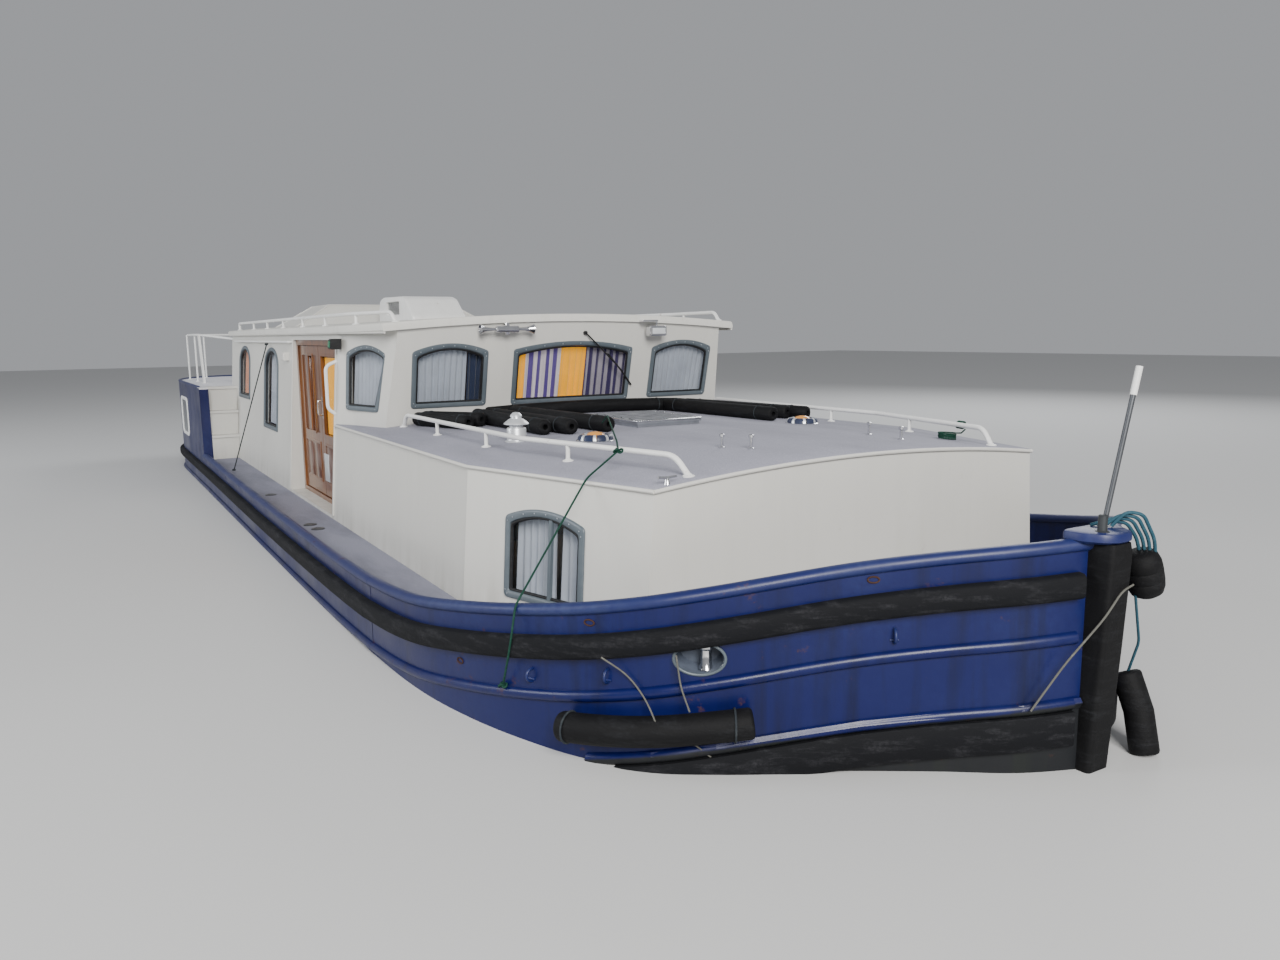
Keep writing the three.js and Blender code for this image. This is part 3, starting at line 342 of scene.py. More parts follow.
# a new node with its settings, and its inputs by label or number
def place(tree, kind, inputs=None, **settings):
    node = tree.nodes.new(kind)
    for key, value in settings.items():
        setattr(node, key, value)
    for key, value in (inputs or {}).items():
        feed(tree, node.inputs[key], value)
    return node


def objectPlace(tree):
    return place(tree, "ShaderNodeTexCoord").outputs["Object"]


# a shader group; an input that is given as a tuple is a colour
def makeGroup(name, inputs, outputs):
    tree = bpy.data.node_groups.new(name, "ShaderNodeTree")
    for label, value in inputs.items():
        kind = "NodeSocketColor" if isinstance(value, tuple) else "NodeSocketFloat"
        tree.interface.new_socket(label, in_out="INPUT", socket_type=kind).default_value = value
    for label in outputs:
        kind = "NodeSocketColor" if label == "Color" else "NodeSocketFloat"
        tree.interface.new_socket(label, in_out="OUTPUT", socket_type=kind)
    return tree, tree.nodes.new("NodeGroupInput").outputs, tree.nodes.new("NodeGroupOutput").inputs


def ramp(tree, value, low, high):
    return place(tree, "ShaderNodeMapRange", {"Value": value, "From Min": low, "From Max": high},
                 clamp=True).outputs[0]


def mixColor(tree, factor, a, b):
    return place(tree, "ShaderNodeMix", {0: factor, 6: a, 7: b}, data_type="RGBA").outputs[2]


def maths(tree, operation, a, b):
    return place(tree, "ShaderNodeMath", {0: a, 1: b}, operation=operation).outputs[0]


def times(tree, a, b):
    return maths(tree, "MULTIPLY", a, b)


def plus(tree, a, b):
    return maths(tree, "ADD", a, b)


def noise(tree, vector, scale, detail, rough):
    return place(tree, "ShaderNodeTexNoise", {"Vector": vector, "Scale": scale, "Detail": detail,
                                              "Roughness": rough}).outputs["Fac"]


def stretched(tree, vector, scale):
    return place(tree, "ShaderNodeMapping", {"Vector": vector, "Scale": scale}).outputs[0]


# a colour times a factor, with its alpha
def shaded(color, factor=1.0):
    return (*[min(c * factor, 1) for c in color], 1)


# paint with chalky patches, streaks that run down, rust spots, a foot that gets darker towards the deck and a soft
# orange peel
def wornPaintGroup():
    tree, given, result = makeGroup("wornPaint", {
        "Paint": (0.5, 0.5, 0.5, 1), "Chalk": (0.7, 0.7, 0.7, 1), "Grime": (0.1, 0.09, 0.07, 1),
        "Rust": (0.12, 0.04, 0.015, 1), "Chalkiness": 0.3, "Streaks": 0.3, "Rusting": 0.1, "Gloss": 0.4,
        "Foot": 0.0}, ("Color", "Roughness", "Height"))
    where = objectPlace(tree)
    patches = ramp(tree, noise(tree, where, 1.3, 6, 0.6), 0.42, 0.72)
    fine = noise(tree, where, 26, 5, 0.65)
    runs = noise(tree, stretched(tree, where, (9, 9, 0.7)), 1.0, 5, 0.6)
    streaks = ramp(tree, runs, 0.5, 0.78)
    spots = ramp(tree, noise(tree, where, 7.5, 7, 0.72), 0.63, 0.70)
    height = place(tree, "ShaderNodeSeparateXYZ", {0: where}).outputs["Z"]
    foot = place(tree, "ShaderNodeMapRange", {
        "Value": height, "From Min": deck - 0.02, "From Max": deck + 0.22, "To Min": 1.0, "To Max": 0.0},
        clamp=True).outputs[0]
    chalk = times(tree, times(tree, patches, ramp(tree, fine, 0.3, 0.75)), given["Chalkiness"])
    color = mixColor(tree, chalk, given["Paint"], given["Chalk"])
    color = mixColor(tree, times(tree, streaks, given["Streaks"]), color, given["Grime"])
    # darker towards the deck, broken up by the streak noise
    footDarkening = times(tree, times(tree, foot, given["Foot"]), ramp(tree, runs, 0.25, 0.7))
    color = mixColor(tree, footDarkening, color, given["Grime"])
    rust = times(tree, spots, given["Rusting"])
    color = mixColor(tree, rust, color, given["Rust"])
    rough = plus(tree, given["Gloss"], times(tree, patches, 0.22))
    rough = plus(tree, rough, times(tree, rust, 0.3))
    lumps = plus(tree, times(tree, fine, 0.25), noise(tree, where, 2.2, 2, 0.5))
    for label, value in (("Color", color), ("Roughness", rough), ("Height", lumps)):
        tree.links.new(value, result[label])
    return tree


# coarse and fine fibres, stretched along the axis whose scale is small
def grainGroup():
    tree, given, result = makeGroup("woodGrain", {
        "Light": (0.4, 0.2, 0.1, 1), "Dark": (0.15, 0.06, 0.03, 1), "Along X": 1.0, "Along Z": 0.1},
        ("Color", "Height"))
    where = objectPlace(tree)
    scale = place(tree, "ShaderNodeCombineXYZ", {0: given["Along X"], 1: 1.0, 2: given["Along Z"]})
    product = place(tree, "ShaderNodeVectorMath", {0: where, 1: scale.outputs[0]}, operation="MULTIPLY").outputs[0]
    coarse = noise(tree, product, 22, 4, 0.6)
    fine = noise(tree, product, 120, 3, 0.6)
    fibres = plus(tree, times(tree, coarse, 0.7), times(tree, fine, 0.3))
    color = mixColor(tree, ramp(tree, fibres, 0.35, 0.65), given["Dark"], given["Light"])
    tree.links.new(color, result["Color"])
    tree.links.new(fibres, result["Height"])
    return tree


groups = {"paint": wornPaintGroup(), "grain": grainGroup()}
trees = {"heads": headsTree(), "slats": slatsTree()}


def surface(tree, color, roughness, height=None, bump=0.1, distance=0.01, **sockets):
    shader = place(tree, "ShaderNodeBsdfPrincipled", {"Base Color": color, "Roughness": roughness})
    for label, value in sockets.items():
        shader.inputs[label.replace("_", " ")].default_value = value
    if height is not None:
        bumped = place(tree, "ShaderNodeBump", {"Height": height, "Strength": bump, "Distance": distance})
        tree.links.new(bumped.outputs[0], shader.inputs["Normal"])
    place(tree, "ShaderNodeOutputMaterial", {"Surface": shader.outputs[0]})
    return shader


# the worn paint's group with its own values
def wornNodes(tree, values):
    group = place(tree, "ShaderNodeGroup", node_tree=groups["paint"])
    for label, value in values.items():
        group.inputs[label].default_value = (*value, 1) if isinstance(value, tuple) else value
    return group.outputs


def wornPaint(name, bump=0.08, **values):
    material, tree = newMaterial(name)
    paint = wornNodes(tree, values)
    surface(tree, paint["Color"], paint["Roughness"], paint["Height"], bump, 0.02)
    return material


# the hull's paint, with painted shade: near black under a line that rises towards the bow, standing in for the
# shadow on the lower hull
def hullFinish(name, above, under, line):
    material, tree = newMaterial(name)
    upper, lower = wornNodes(tree, above), wornNodes(tree, under)
    where = objectPlace(tree)
    parts = place(tree, "ShaderNodeSeparateXYZ", {0: where}).outputs
    rise = times(tree, maths(tree, "SUBTRACT", parts["X"], line["from"]), line["slope"])
    edge = maths(tree, "MAXIMUM", plus(tree, rise, line["height"]), line["lowest"])
    wobble = times(tree, maths(tree, "SUBTRACT", noise(tree, where, 5, 4, 0.6), 0.5), 0.02)
    over = maths(tree, "SUBTRACT", plus(tree, parts["Z"], wobble), edge)
    # painted shade: below the line the near-black values stand in for the shadow on the lower hull
    paintedShadeMask = ramp(tree, over, -0.004, 0.006)
    color = mixColor(tree, paintedShadeMask, lower["Color"], upper["Color"])
    rough = place(tree, "ShaderNodeMix", {0: paintedShadeMask, 2: lower["Roughness"], 3: upper["Roughness"]},
                  data_type="FLOAT").outputs[0]
    surface(tree, color, rough, upper["Height"], 0.14, 0.02, Specular_IOR_Level=0.35)
    return material


def woodFinish(name, light, dark, alongZ=True, coat=0.4):
    material, tree = newMaterial(name)
    long, across = 0.06, 1.0  # the grain is stretched where its scale is small
    grain = place(tree, "ShaderNodeGroup", {
        "Light": shaded(light), "Dark": shaded(dark), "Along X": across if alongZ else long,
        "Along Z": long if alongZ else across}, node_tree=groups["grain"]).outputs
    surface(tree, grain["Color"], 0.28, grain["Height"], 0.12, 0.004, Coat_Weight=coat)
    return material


def metalFinish(name, color, rough, metallic=1.0):
    material, tree = newMaterial(name)
    where = objectPlace(tree)
    marks = noise(tree, stretched(tree, where, (1, 1, 6)), 60, 4, 0.7)
    shade = mixColor(tree, ramp(tree, noise(tree, where, 8, 3, 0.5), 0.3, 0.8), shaded(color), shaded(color, 0.72))
    surface(tree, shade, plus(tree, rough, times(tree, marks, 0.08)), marks, 0.03, 0.002, Metallic=metallic)
    return material


# non-slip paint with stains where water stands
def gritFinish(name, color, speck, stain=0.4):
    material, tree = newMaterial(name)
    where = objectPlace(tree)
    grit = noise(tree, where, 160, 3, 0.7)
    stains = ramp(tree, noise(tree, stretched(tree, where, (0.5, 1.4, 1)), 1.6, 6, 0.62), 0.45, 0.75)
    worn = ramp(tree, noise(tree, where, 6.5, 6, 0.7), 0.55, 0.72)
    shade = mixColor(tree, ramp(tree, grit, 0.4, 0.7), shaded(color), shaded(speck))
    shade = mixColor(tree, times(tree, stains, stain), shade, shaded(color, 0.55))
    shade = mixColor(tree, times(tree, worn, stain * 0.5), shade, shaded(color, 1.3))
    surface(tree, shade, 0.85, grit, 0.3, 0.003)
    return material


def rubberFinish(name, color, scuff, rough=0.7):
    material, tree = newMaterial(name)
    where = objectPlace(tree)
    scuffs = ramp(tree, noise(tree, stretched(tree, where, (1, 1, 5)), 5.5, 8, 0.72), 0.5, 0.72)
    fine = noise(tree, where, 70, 4, 0.7)
    shade = mixColor(tree, times(tree, scuffs, ramp(tree, fine, 0.3, 0.7)), shaded(color), shaded(scuff))
    surface(tree, shade, rough, plus(tree, fine, scuffs), 0.35, 0.006, Specular_IOR_Level=0.22)
    return material


# woven cloth, with upright stripes across the boat where a stripe width is given, and a painted glow where one is
# given: an emission of the cloth's own colour that stands in for light falling on it, though it is no lamp
def clothFinish(name, color, other=None, stripe=0.0, paintedGlow=0.0):
    material, tree = newMaterial(name)
    where = objectPlace(tree)
    weave = noise(tree, stretched(tree, where, (1, 1, 0.25)), 420, 3, 0.7)
    cloth = mixColor(tree, ramp(tree, noise(tree, where, 5, 3, 0.5), 0.35, 0.7), shaded(color), shaded(color, 0.86))
    if stripe:
        across = place(tree, "ShaderNodeSeparateXYZ", {0: where}).outputs["Y"]
        wave = maths(tree, "PINGPONG", across, stripe)
        cloth = mixColor(tree, ramp(tree, wave, stripe * 0.46, stripe * 0.54), cloth, shaded(other))
    shade = mixColor(tree, times(tree, weave, 0.35), cloth, (0.02, 0.02, 0.02, 1))
    shader = surface(tree, shade, 0.9, weave, 0.1, 0.001, Sheen_Weight=0.3)
    # painted light: the cloth glows with its own colour to stand in for light on it
    if paintedGlow:
        feed(tree, shader.inputs["Emission Color"], cloth)
        feed(tree, shader.inputs["Emission Strength"], paintedGlow)
    return material


def glassFinish(name, tint=(0.02, 0.026, 0.03), alpha=0.15):
    material, tree = newMaterial(name)
    haze = plus(tree, 0.03, times(tree, noise(tree, objectPlace(tree), 9, 3, 0.5), 0.06))
    surface(tree, shaded(tint), haze, Alpha=alpha, Specular_IOR_Level=0.8, Metallic=0.0)
    material.surface_render_method = "BLENDED"
    return material


finish = {
    # the second set of values is the near-black painted shade of the lower hull
    "hullBlue": hullFinish(
        "hullBluePaint",
        {"Paint": (0.0026, 0.0056, 0.064), "Chalk": (0.011, 0.020, 0.105), "Grime": (0.002, 0.003, 0.012),
         "Rust": (0.07, 0.028, 0.018), "Chalkiness": 0.75, "Streaks": 0.75, "Rusting": 0.65, "Gloss": 0.30},
        {"Paint": (0.006, 0.007, 0.009), "Chalk": (0.03, 0.032, 0.034), "Grime": (0.012, 0.016, 0.010),
         "Rust": (0.06, 0.025, 0.015), "Chalkiness": 0.7, "Streaks": 0.6, "Rusting": 0.7, "Gloss": 0.5},
        {"from": 5.98, "slope": 0.246, "height": 0.755, "lowest": 0.700}),
    "capBlue": wornPaint("capBluePaint", Paint=(0.0045, 0.010, 0.080), Chalk=(0.026, 0.042, 0.125),
                         Grime=(0.015, 0.02, 0.05), Rust=(0.09, 0.04, 0.025), Chalkiness=0.9, Streaks=0.3,
                         Rusting=0.7, Gloss=0.4, bump=0.15),
    "cream": wornPaint("creamPaint", Paint=(0.61, 0.60, 0.56), Chalk=(0.70, 0.69, 0.66), Grime=(0.30, 0.285, 0.24),
                       Rust=(0.20, 0.12, 0.07), Chalkiness=0.3, Streaks=0.07, Rusting=0.10, Gloss=0.42, Foot=0.5,
                       bump=0.05),
    "white": wornPaint("whitePaint", Paint=(0.80, 0.80, 0.78), Chalk=(0.70, 0.70, 0.68), Grime=(0.40, 0.38, 0.33),
                       Rust=(0.22, 0.11, 0.05), Chalkiness=0.4, Streaks=0.15, Rusting=0.35, Gloss=0.35, bump=0.04),
    "frameGrey": wornPaint("frameGreyPaint", Paint=(0.088, 0.110, 0.128), Chalk=(0.19, 0.215, 0.235),
                           Grime=(0.05, 0.06, 0.07), Rust=(0.08, 0.07, 0.06), Chalkiness=0.5, Streaks=0.3,
                           Rusting=0.1, Gloss=0.35, bump=0.03),
    "cupGrey": wornPaint("recessGreyPaint", Paint=(0.10, 0.12, 0.16), Chalk=(0.2, 0.22, 0.25),
                         Grime=(0.03, 0.03, 0.04), Chalkiness=0.6, Streaks=0.6, Rusting=0.5, Gloss=0.5),
    "segmentBlue": wornPaint("segmentBluePaint", Paint=(0.016, 0.024, 0.060), Chalk=(0.06, 0.08, 0.14),
                             Chalkiness=0.6, Gloss=0.3),
    "creamRoof": wornPaint("creamRoofPaint", Paint=(0.64, 0.63, 0.585), Chalk=(0.70, 0.69, 0.66),
                           Grime=(0.30, 0.285, 0.24), Rust=(0.20, 0.12, 0.07), Chalkiness=0.6, Streaks=0.18,
                           Rusting=0.15, Gloss=0.5, bump=0.05),
    "roof": gritFinish("roofNonSlip", (0.25, 0.25, 0.305), (0.37, 0.37, 0.425)),
    "deck": gritFinish("deckNonSlip", (0.17, 0.172, 0.225), (0.28, 0.283, 0.34), stain=0.8),
    "aftDeck": gritFinish("aftDeckNonSlip", (0.58, 0.58, 0.62), (0.68, 0.68, 0.7), stain=0.5),
    "rubber": rubberFinish("scuffedRubber", (0.0028, 0.0028, 0.0034), (0.018, 0.019, 0.022)),
    "timber": rubberFinish("tarredBand", (0.0036, 0.004, 0.0056), (0.038, 0.038, 0.043), 0.8),
    "blackPlastic": rubberFinish("blackPlastic", (0.015, 0.015, 0.016), (0.04, 0.04, 0.042), 0.45),
    "deepGreenRope": rubberFinish("deepGreenRope", (0.005, 0.038, 0.024), (0.025, 0.095, 0.065)),
    "blueRope": rubberFinish("blueRope", (0.02, 0.070, 0.10), (0.06, 0.13, 0.16)),
    "darkRope": rubberFinish("darkRope", (0.02, 0.025, 0.03), (0.08, 0.09, 0.09)),
    "rustySteel": rubberFinish("rustySteel", (0.045, 0.020, 0.013), (0.10, 0.060, 0.042), 0.75),
    "paleLine": rubberFinish("paleLine", (0.11, 0.108, 0.095), (0.22, 0.215, 0.19)),
    "wood": woodFinish("varnishedWood", (0.23, 0.083, 0.022), (0.085, 0.028, 0.008)),
    "floorWood": woodFinish("floorBoards", (0.42, 0.27, 0.15), (0.25, 0.15, 0.08), alongZ=False, coat=0.1),
    "woodDark": woodFinish("varnishedPanels", (0.15, 0.044, 0.013), (0.06, 0.017, 0.006)),
    "chrome": metalFinish("polishedChrome", (0.80, 0.80, 0.82), 0.08),
    "aluminium": metalFinish("dullAluminium", (0.58, 0.60, 0.63), 0.32),
    "steel": metalFinish("paintedSteel", (0.06, 0.065, 0.07), 0.5, 0.6),
    "bronze": metalFinish("bronze", (0.45, 0.29, 0.10), 0.3),
    "engine": metalFinish("engineGreen", (0.05, 0.11, 0.07), 0.5, 0.2),
    "darkMetal": metalFinish("darkMetal", (0.10, 0.105, 0.115), 0.4, 0.7),
    "aluminiumWhite": metalFinish("weatheredAluminium", (0.74, 0.76, 0.78), 0.34, 0.55),
    "glass": glassFinish("clearGlass"),
    "darkGlass": glassFinish("darkGlass", (0.05, 0.06, 0.08), 0.82),
    "lensGreen": glassFinish("sideLightGreen", (0.02, 0.20, 0.09), 0.9),
    "lensRed": glassFinish("sideLightRed", (0.30, 0.02, 0.02), 0.9),
    "lens": glassFinish("lampLens", (0.75, 0.78, 0.80), 0.75),
    "amber": glassFinish("amberLens", (0.75, 0.32, 0.05), 0.92),
    # the curtains' glow values are painted light, standing in for light on the cloth behind the glass
    "whiteCurtain": clothFinish("whiteCurtain", (0.60, 0.655, 0.75), paintedGlow=0.09),
    "blueCurtain": clothFinish("blueCurtain", (0.02, 0.035, 0.10)),
    "pinkCurtain": clothFinish("pinkCurtain", (0.72, 0.30, 0.17), paintedGlow=0.25),
    "yellowCurtain": clothFinish("yellowCurtain", (0.88, 0.40, 0.004), paintedGlow=0.9),
    "stripedCurtain": clothFinish("stripedCurtain", (0.74, 0.68, 0.72), (0.10, 0.06, 0.26), stripe=0.036, paintedGlow=0.4),
    "darkStripes": clothFinish("darkStripes", (0.50, 0.46, 0.54), (0.05, 0.03, 0.13), stripe=0.032, paintedGlow=0.10),
}
print("materials ready")


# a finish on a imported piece, on the object so that its mesh stays as it is
def paintNode(node, look):
    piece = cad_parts[node]
    if not piece.material_slots:
        piece.data.materials.append(finish[look])
    for slot in piece.material_slots:
        slot.link = "OBJECT"
        slot.material = finish[look]


# names of the nodes on both sides of the boat
def bothNodes(*stems):
    return [f"{stem}_{sideName}" for stem in stems for side, sideName in bothSides]


nodeFinish = {
    "cream": ["fore_cabin_front", "wheelhouse_front", "wheelhouse_aft_wall", "wheelhouse_roof", "skylight",
              *bothNodes("fore_cabin_side", "wheelhouse_side", "steps")],
    "roof": ["fore_cabin_roof"],
    "deck": ["deck_plate"],
    "aftDeck": ["aft_deck"],
    "hullBlue": ["hull", "bulwark", "upper_ledge", "aft_body"],
    "capBlue": ["cap_rail"],
    "rubber": ["stem_fender", "hung_fender", "stowed_fenders"],
    "timber": ["rub_band"],
    "floorWood": ["cabin_floor"],
    "engine": ["engine_block"],
    "wood": ["helm_console", "helm_wheel", *bothNodes("door_frame", "door_fore_leaf", "door_aft_leaf")],
    "aluminium": ["hatch_coaming", "hatch_lid"],
    "white": ["flue", "roof_unit", "aft_rail", *bothNodes("door_handle", "wheelhouse_rail", "cabin_rail")],
    "chrome": ["horn", "searchlight"],
    "steel": ["skeg", "rudder"],
    "bronze": ["propeller"],
    "frameGrey": ["window_front_centre", *bothNodes("window_front", "window_side", "window_cabin")],
}
for look, nodeNames in nodeFinish.items():
    for nodeName in nodeNames:
        paintNode(nodeName, look)
print("packed nodes finished")

# Hull's plan and sheer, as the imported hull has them

hullLines = {
    # station, half-breadth
    "plan": [
        (1.380, 0), (1.250, 0.300), (1.070, 0.560), (0.880, 0.850), (0.700, 1.140), (0.560, 1.370), (0.400, 1.590),
        (0.160, 1.775), (-0.160, 1.920), (-0.560, 2.045), (-1.050, 2.135), (-1.700, 2.175), (-2.600, 2.180),
        (-9.260, 2.180), (-11.300, 2.180), (-11.950, 2.130), (-12.450, 1.960), (-12.800, 1.620), (-12.990, 1.080),
        (-13.050, 0.480), (-13.050, 0),
    ],
    # station, height of the cap above the deck
    "sheer": [
        (1.380, 0.660), (0.880, 0.560), (0.560, 0.460), (0.400, 0.415), (0.160, 0.360), (-0.160, 0.300),
        (-0.560, 0.235), (-1.050, 0.165), (-1.700, 0.120), (-2.600, 0.090), (-9.260, 0.080), (-13.050, 0.080),
    ],
    "bendSteps": 6, "straightSteps": 12, "straightFrom": 1.5,  # a run longer than this has no bend
    "stem": 1.380, "stemHalf": 0.070,
    "aftBody": -9.260, "stern": -13.050,
    "bulwark": 0.030, "deckPlate": 0.015,  # thicknesses
}


# points and outward normals of the port side, from stem to stern
def smoothPlan():
    plan = [Vector(p) for p in hullLines["plan"]]
    before = [plan[0] * 2 - plan[1]] + plan[:-1]
    after = plan[1:] + [Vector((plan[-1].x, -plan[-2].y))]
    points = []
    for i in range(len(plan) - 1):
        p0, p1, p2, p3 = before[i], plan[i], plan[i + 1], after[i + 1]
        straight = (p2 - p1).length > hullLines["straightFrom"]
        steps = hullLines["straightSteps" if straight else "bendSteps"]
        for k in range(steps):
            t = k / steps
            if straight:
                points.append(p1.lerp(p2, t))
                continue
            points.append(0.5 * ((2 * p1) + (p2 - p0) * t + (2 * p0 - 5 * p1 + 4 * p2 - p3) * t * t
                                 + (3 * p1 - p0 - 3 * p2 + p3) * t**3))
    points.append(plan[-1])
    normals = []
    for i, point in enumerate(points):
        a = points[max(i - 1, 0)]
        b = points[min(i + 1, len(points) - 1)] if i < len(points) - 1 else Vector((point.x, -points[-2].y))
        way = (b - a).normalized()
        normals.append(Vector((way.y, -way.x)))
    return points, normals


planPoints, planNormals = smoothPlan()


def capHeight(s):
    return deck + smoothValue(hullLines["sheer"], s)


# half-breadth and outward normal of the port side at a station
def sideAt(s):
    for a, b, na, nb in zip(planPoints, planPoints[1:], planNormals, planNormals[1:]):
        if a.x >= s >= b.x:
            t = (a.x - s) / max(a.x - b.x, 1e-6)
            return a.y + (b.y - a.y) * t, na.lerp(nb, t).normalized()
    return planPoints[-1].y, planNormals[-1]


def onSide(s, z, out, side=-1):
    half, normal = sideAt(s)
    return Vector((station(s + normal.x * out), side * (half + normal.y * out), z))


# a bar round the hull between two stations, less the part nearer to the middle line than narrow;
# section gives (outward, height) pairs for a station
def alongParts(section, narrow=0.0, fore=hullLines["stem"], aft=hullLines["stern"]):
    parts = []
    for side in (-1, 1):
        rings = []
        for point, normal in zip(planPoints, planNormals):
            atStem = point.y < narrow and point.x > 0
            if atStem or point.x < aft - 1e-4 or point.x > fore + 0.001:
                continue
            ring = []
            for outward, height in section(point.x):
                x, y = point.x + normal.x * outward, point.y + normal.y * outward
                ring.append(spot(x, side * max(y, 0), height))
            rings.append(ring)
        parts.append(loft(rings))
    return parts


def alongSide(name, section, look, angle, **limits):
    return addPiece(name, alongParts(section, **limits), look, angle)


# Bow fittings' sizes

bow = {
    "noseTop": deck + 0.660 + 0.022, "noseThick": 0.045,
    "nose": [(1.465, 0.040), (1.440, 0.090), (1.360, 0.135), (1.270, 0.135)],
    "hawse": {"station": 0.520, "half": 1.425, "up": 0.150, "wide": 0.105, "high": 0.066, "deep": 0.105},
    "fenderRadius": 0.066,
}


# turns (across, up, out) on a wall into a place in the frame
def wallPlace(entry):
    fx, fy = entry["facing"]
    px, py = entry["place"]
    turn = -1 if entry["flip"] else 1

    def at(a, u, o):
        out = o + entry["tilt"] * u
        return spot(px - fy * a * turn + fx * out, py + fx * a * turn + fy * out, deck + u)

    return at


# the same for a side wall of the wheelhouse, with a station as its across
def houseSide(s, side):
    return wallPlace({"place": (s, side * houseWall["half"]), "facing": (0, side), "tilt": houseWall["lean"],
                      "flip": side > 0})


def hawsePlace(side):
    way = (0.8087, side * 0.5882)
    hole = bow["hawse"]
    entry = {"place": (hole["station"], side * hole["half"]), "facing": way, "tilt": 0, "flip": side > 0}
    return wallPlace(entry)


def ellipseRing(at, scale, out, sides=40, grow=0.0):
    hole = bow["hawse"]
    ring = []
    for turn in round360(sides):
        a = (hole["wide"] * scale + grow) * math.cos(turn)
        u = (hole["high"] * scale + grow) * math.sin(turn)
        ring.append(at(a, hole["up"] + u, out))
    return ring


def hawseCutters():
    return [loft([ellipseRing(hawsePlace(side), 1.0, out) for out in (-0.12, 0.12)]) for side in (-1, 1)]


def buildPlating():
    thick, aft = hullLines["bulwark"], hullLines["aftBody"]
    foot = deck - hullLines["deckPlate"] + seat

    def plate(s):
        top = capHeight(s) - 0.050
        return [(-sink, plateFoot), (-sink, foot), (-thick, foot), (-thick, top), (lap, top), (lap, plateFoot)]

    solid = carve("bulwarkPlating", gather(alongParts(plate, aft=aft)), hawseCutters())
    bulwark = addPiece("bulwarkPlating", solid, "hullBlue", 30)
    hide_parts("bulwark")

    def capSection(s):
        middle = capHeight(s) - 0.030
        return [(-thick / 2 + 0.036 * math.cos(t), middle + 0.030 * math.sin(t)) for t in round360(14)]

    cap = alongSide("capBar", capSection, "capBlue", 60, narrow=0.05, aft=aft)
    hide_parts("cap_rail")


# a half-round bar; drop is measured down from the cap
def ledgeSection(drop):
    proud, high = 0.026, 0.028

    def section(s):
        middle = capHeight(s) - drop
        curve = [(proud * math.cos(a), middle + high * math.sin(a))
                 for a in [math.radians(v) for v in (-90, -60, -30, 0, 30, 60, 90)]]
        return [(-0.004, middle - high), *curve, (-0.004, middle + high)]
    return section


def buildBands():
    stem, bowEnd = hullLines["stemHalf"] + 0.006, 0.160
    ledge = alongSide("upperLedgeBar", ledgeSection(0.420), "hullBlue", 50, narrow=stem)
    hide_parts("upper_ledge")
    alongSide("lowerLedgeBar", ledgeSection(0.705), "hullBlue", 50, narrow=stem, aft=bowEnd)

    def below(drop, profile):
        return lambda s: [(outward + seat, capHeight(s) - drop + up) for outward, up in profile]

    rub = alongSide("rubbingBand", below(0.140, [
        (0, -0.105), (0, 0), (0.036, 0), (0.047, -0.006), (0.054, -0.018), (0.055, -0.052), (0.054, -0.086),
        (0.047, -0.098), (0.036, -0.105)]), "timber", 40, narrow=stem)
    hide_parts("rub_band")
    alongSide("lowerPlank", below(0.735, [
        (0, -0.150), (0, 0), (0.026, 0), (0.032, -0.008), (0.032, -0.140), (0.024, -0.150)]), "timber", 40,
        narrow=stem, aft=bowEnd)


buildPlating()
buildBands()
print("plating and bands built")

# Roofs with a smooth camber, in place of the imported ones

roofs = {
    "fore": {
        # station, half-breadth of the roof's edge
        "stations": [(0.008, 1.3270), (-0.250, 1.4033), (-0.780, 1.5639), (-1.320, 1.7289), (-2.600, 1.7289),
                     (-4.2997, 1.7289)],
        "edge": 0.788, "camber": 0.078, "thick": 0.022, "round": 0.006, "camberHalf": None,  # as wide as the edge
    },
    "house": {
        "stations": [(-3.345, 1.575), (-3.800, 1.6333), (-4.320, 1.700), (-7.000, 1.700), (-9.940, 1.700)],
        "edge": 1.520, "camber": 0.080, "thick": 0.060, "round": 0.014, "camberHalf": 1.700,
    },
}


# height of a roof's upper face
def roofTop(kind, s, y):
    roof = roofs[kind]
    stations = roof["stations"]
    half = stations[-1][1]
    for (a, ha), (b, hb) in zip(stations, stations[1:]):
        if a >= s >= b:
            half = ha + (hb - ha) * (a - s) / (a - b)
    if s > stations[0][0]:
        half = stations[0][1]
    share = y / (roof["camberHalf"] or half)
    over = roof["thick"] if kind == "house" else 0
    return deck + roof["edge"] + roof["camber"] * (1 - share * share) + over


def buildRoof(kind, name, look, cutters=()):
    roof = roofs[kind]
    turn, thick, steps, stations = roof["round"], roof["thick"], 40, roof["stations"]
    first, last = stations[0][0], stations[-1][0]

    # the end that way points to, from its edge inwards
    def end(s, half, way):
        return [(s, half, turn), (s - way * turn * 0.3, half, turn * 0.3), (s - way * turn, half, 0)]

    stops = end(*stations[0], 1) + [(s, half, 0) for s, half in stations[1:-1]] + end(*stations[-1], -1)[::-1]
    rings = []
    for s, half, drop in stops:
        level = min(max(s, last), first)
        side = roofTop(kind, level, half)
        edge = [(half - turn * 0.3, side - turn * 0.3 - drop), (half, side - turn - drop),
                (half, side - thick + turn * 0.5)]
        over, under = ([-reach + 2 * reach * k / steps for k in range(steps + 1)]
                       for reach in (half - turn, half - turn * 0.5))
        ring = [(y, roofTop(kind, level, y) - drop) for y in over] + edge
        ring += [(y, roofTop(kind, level, y) - thick) for y in under[::-1]] + [(-y, z) for y, z in edge[::-1]]
        rings.append([spot(s, y, z) for y, z in ring])
    shape = loft(rings)
    return addPiece(name, carve(name, shape, cutters) if cutters else shape, look, 30)


hatchHole = slab(spot(-2.520, -0.265, 1.5), spot(-1.900, 0.175, 2.3))
foreRoof = buildRoof("fore", "foreRoofPlate", "roof", [hatchHole])
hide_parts("fore_cabin_roof")
houseRoof = buildRoof("house", "houseRoofPlate", "creamRoof")
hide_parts("wheelhouse_roof")


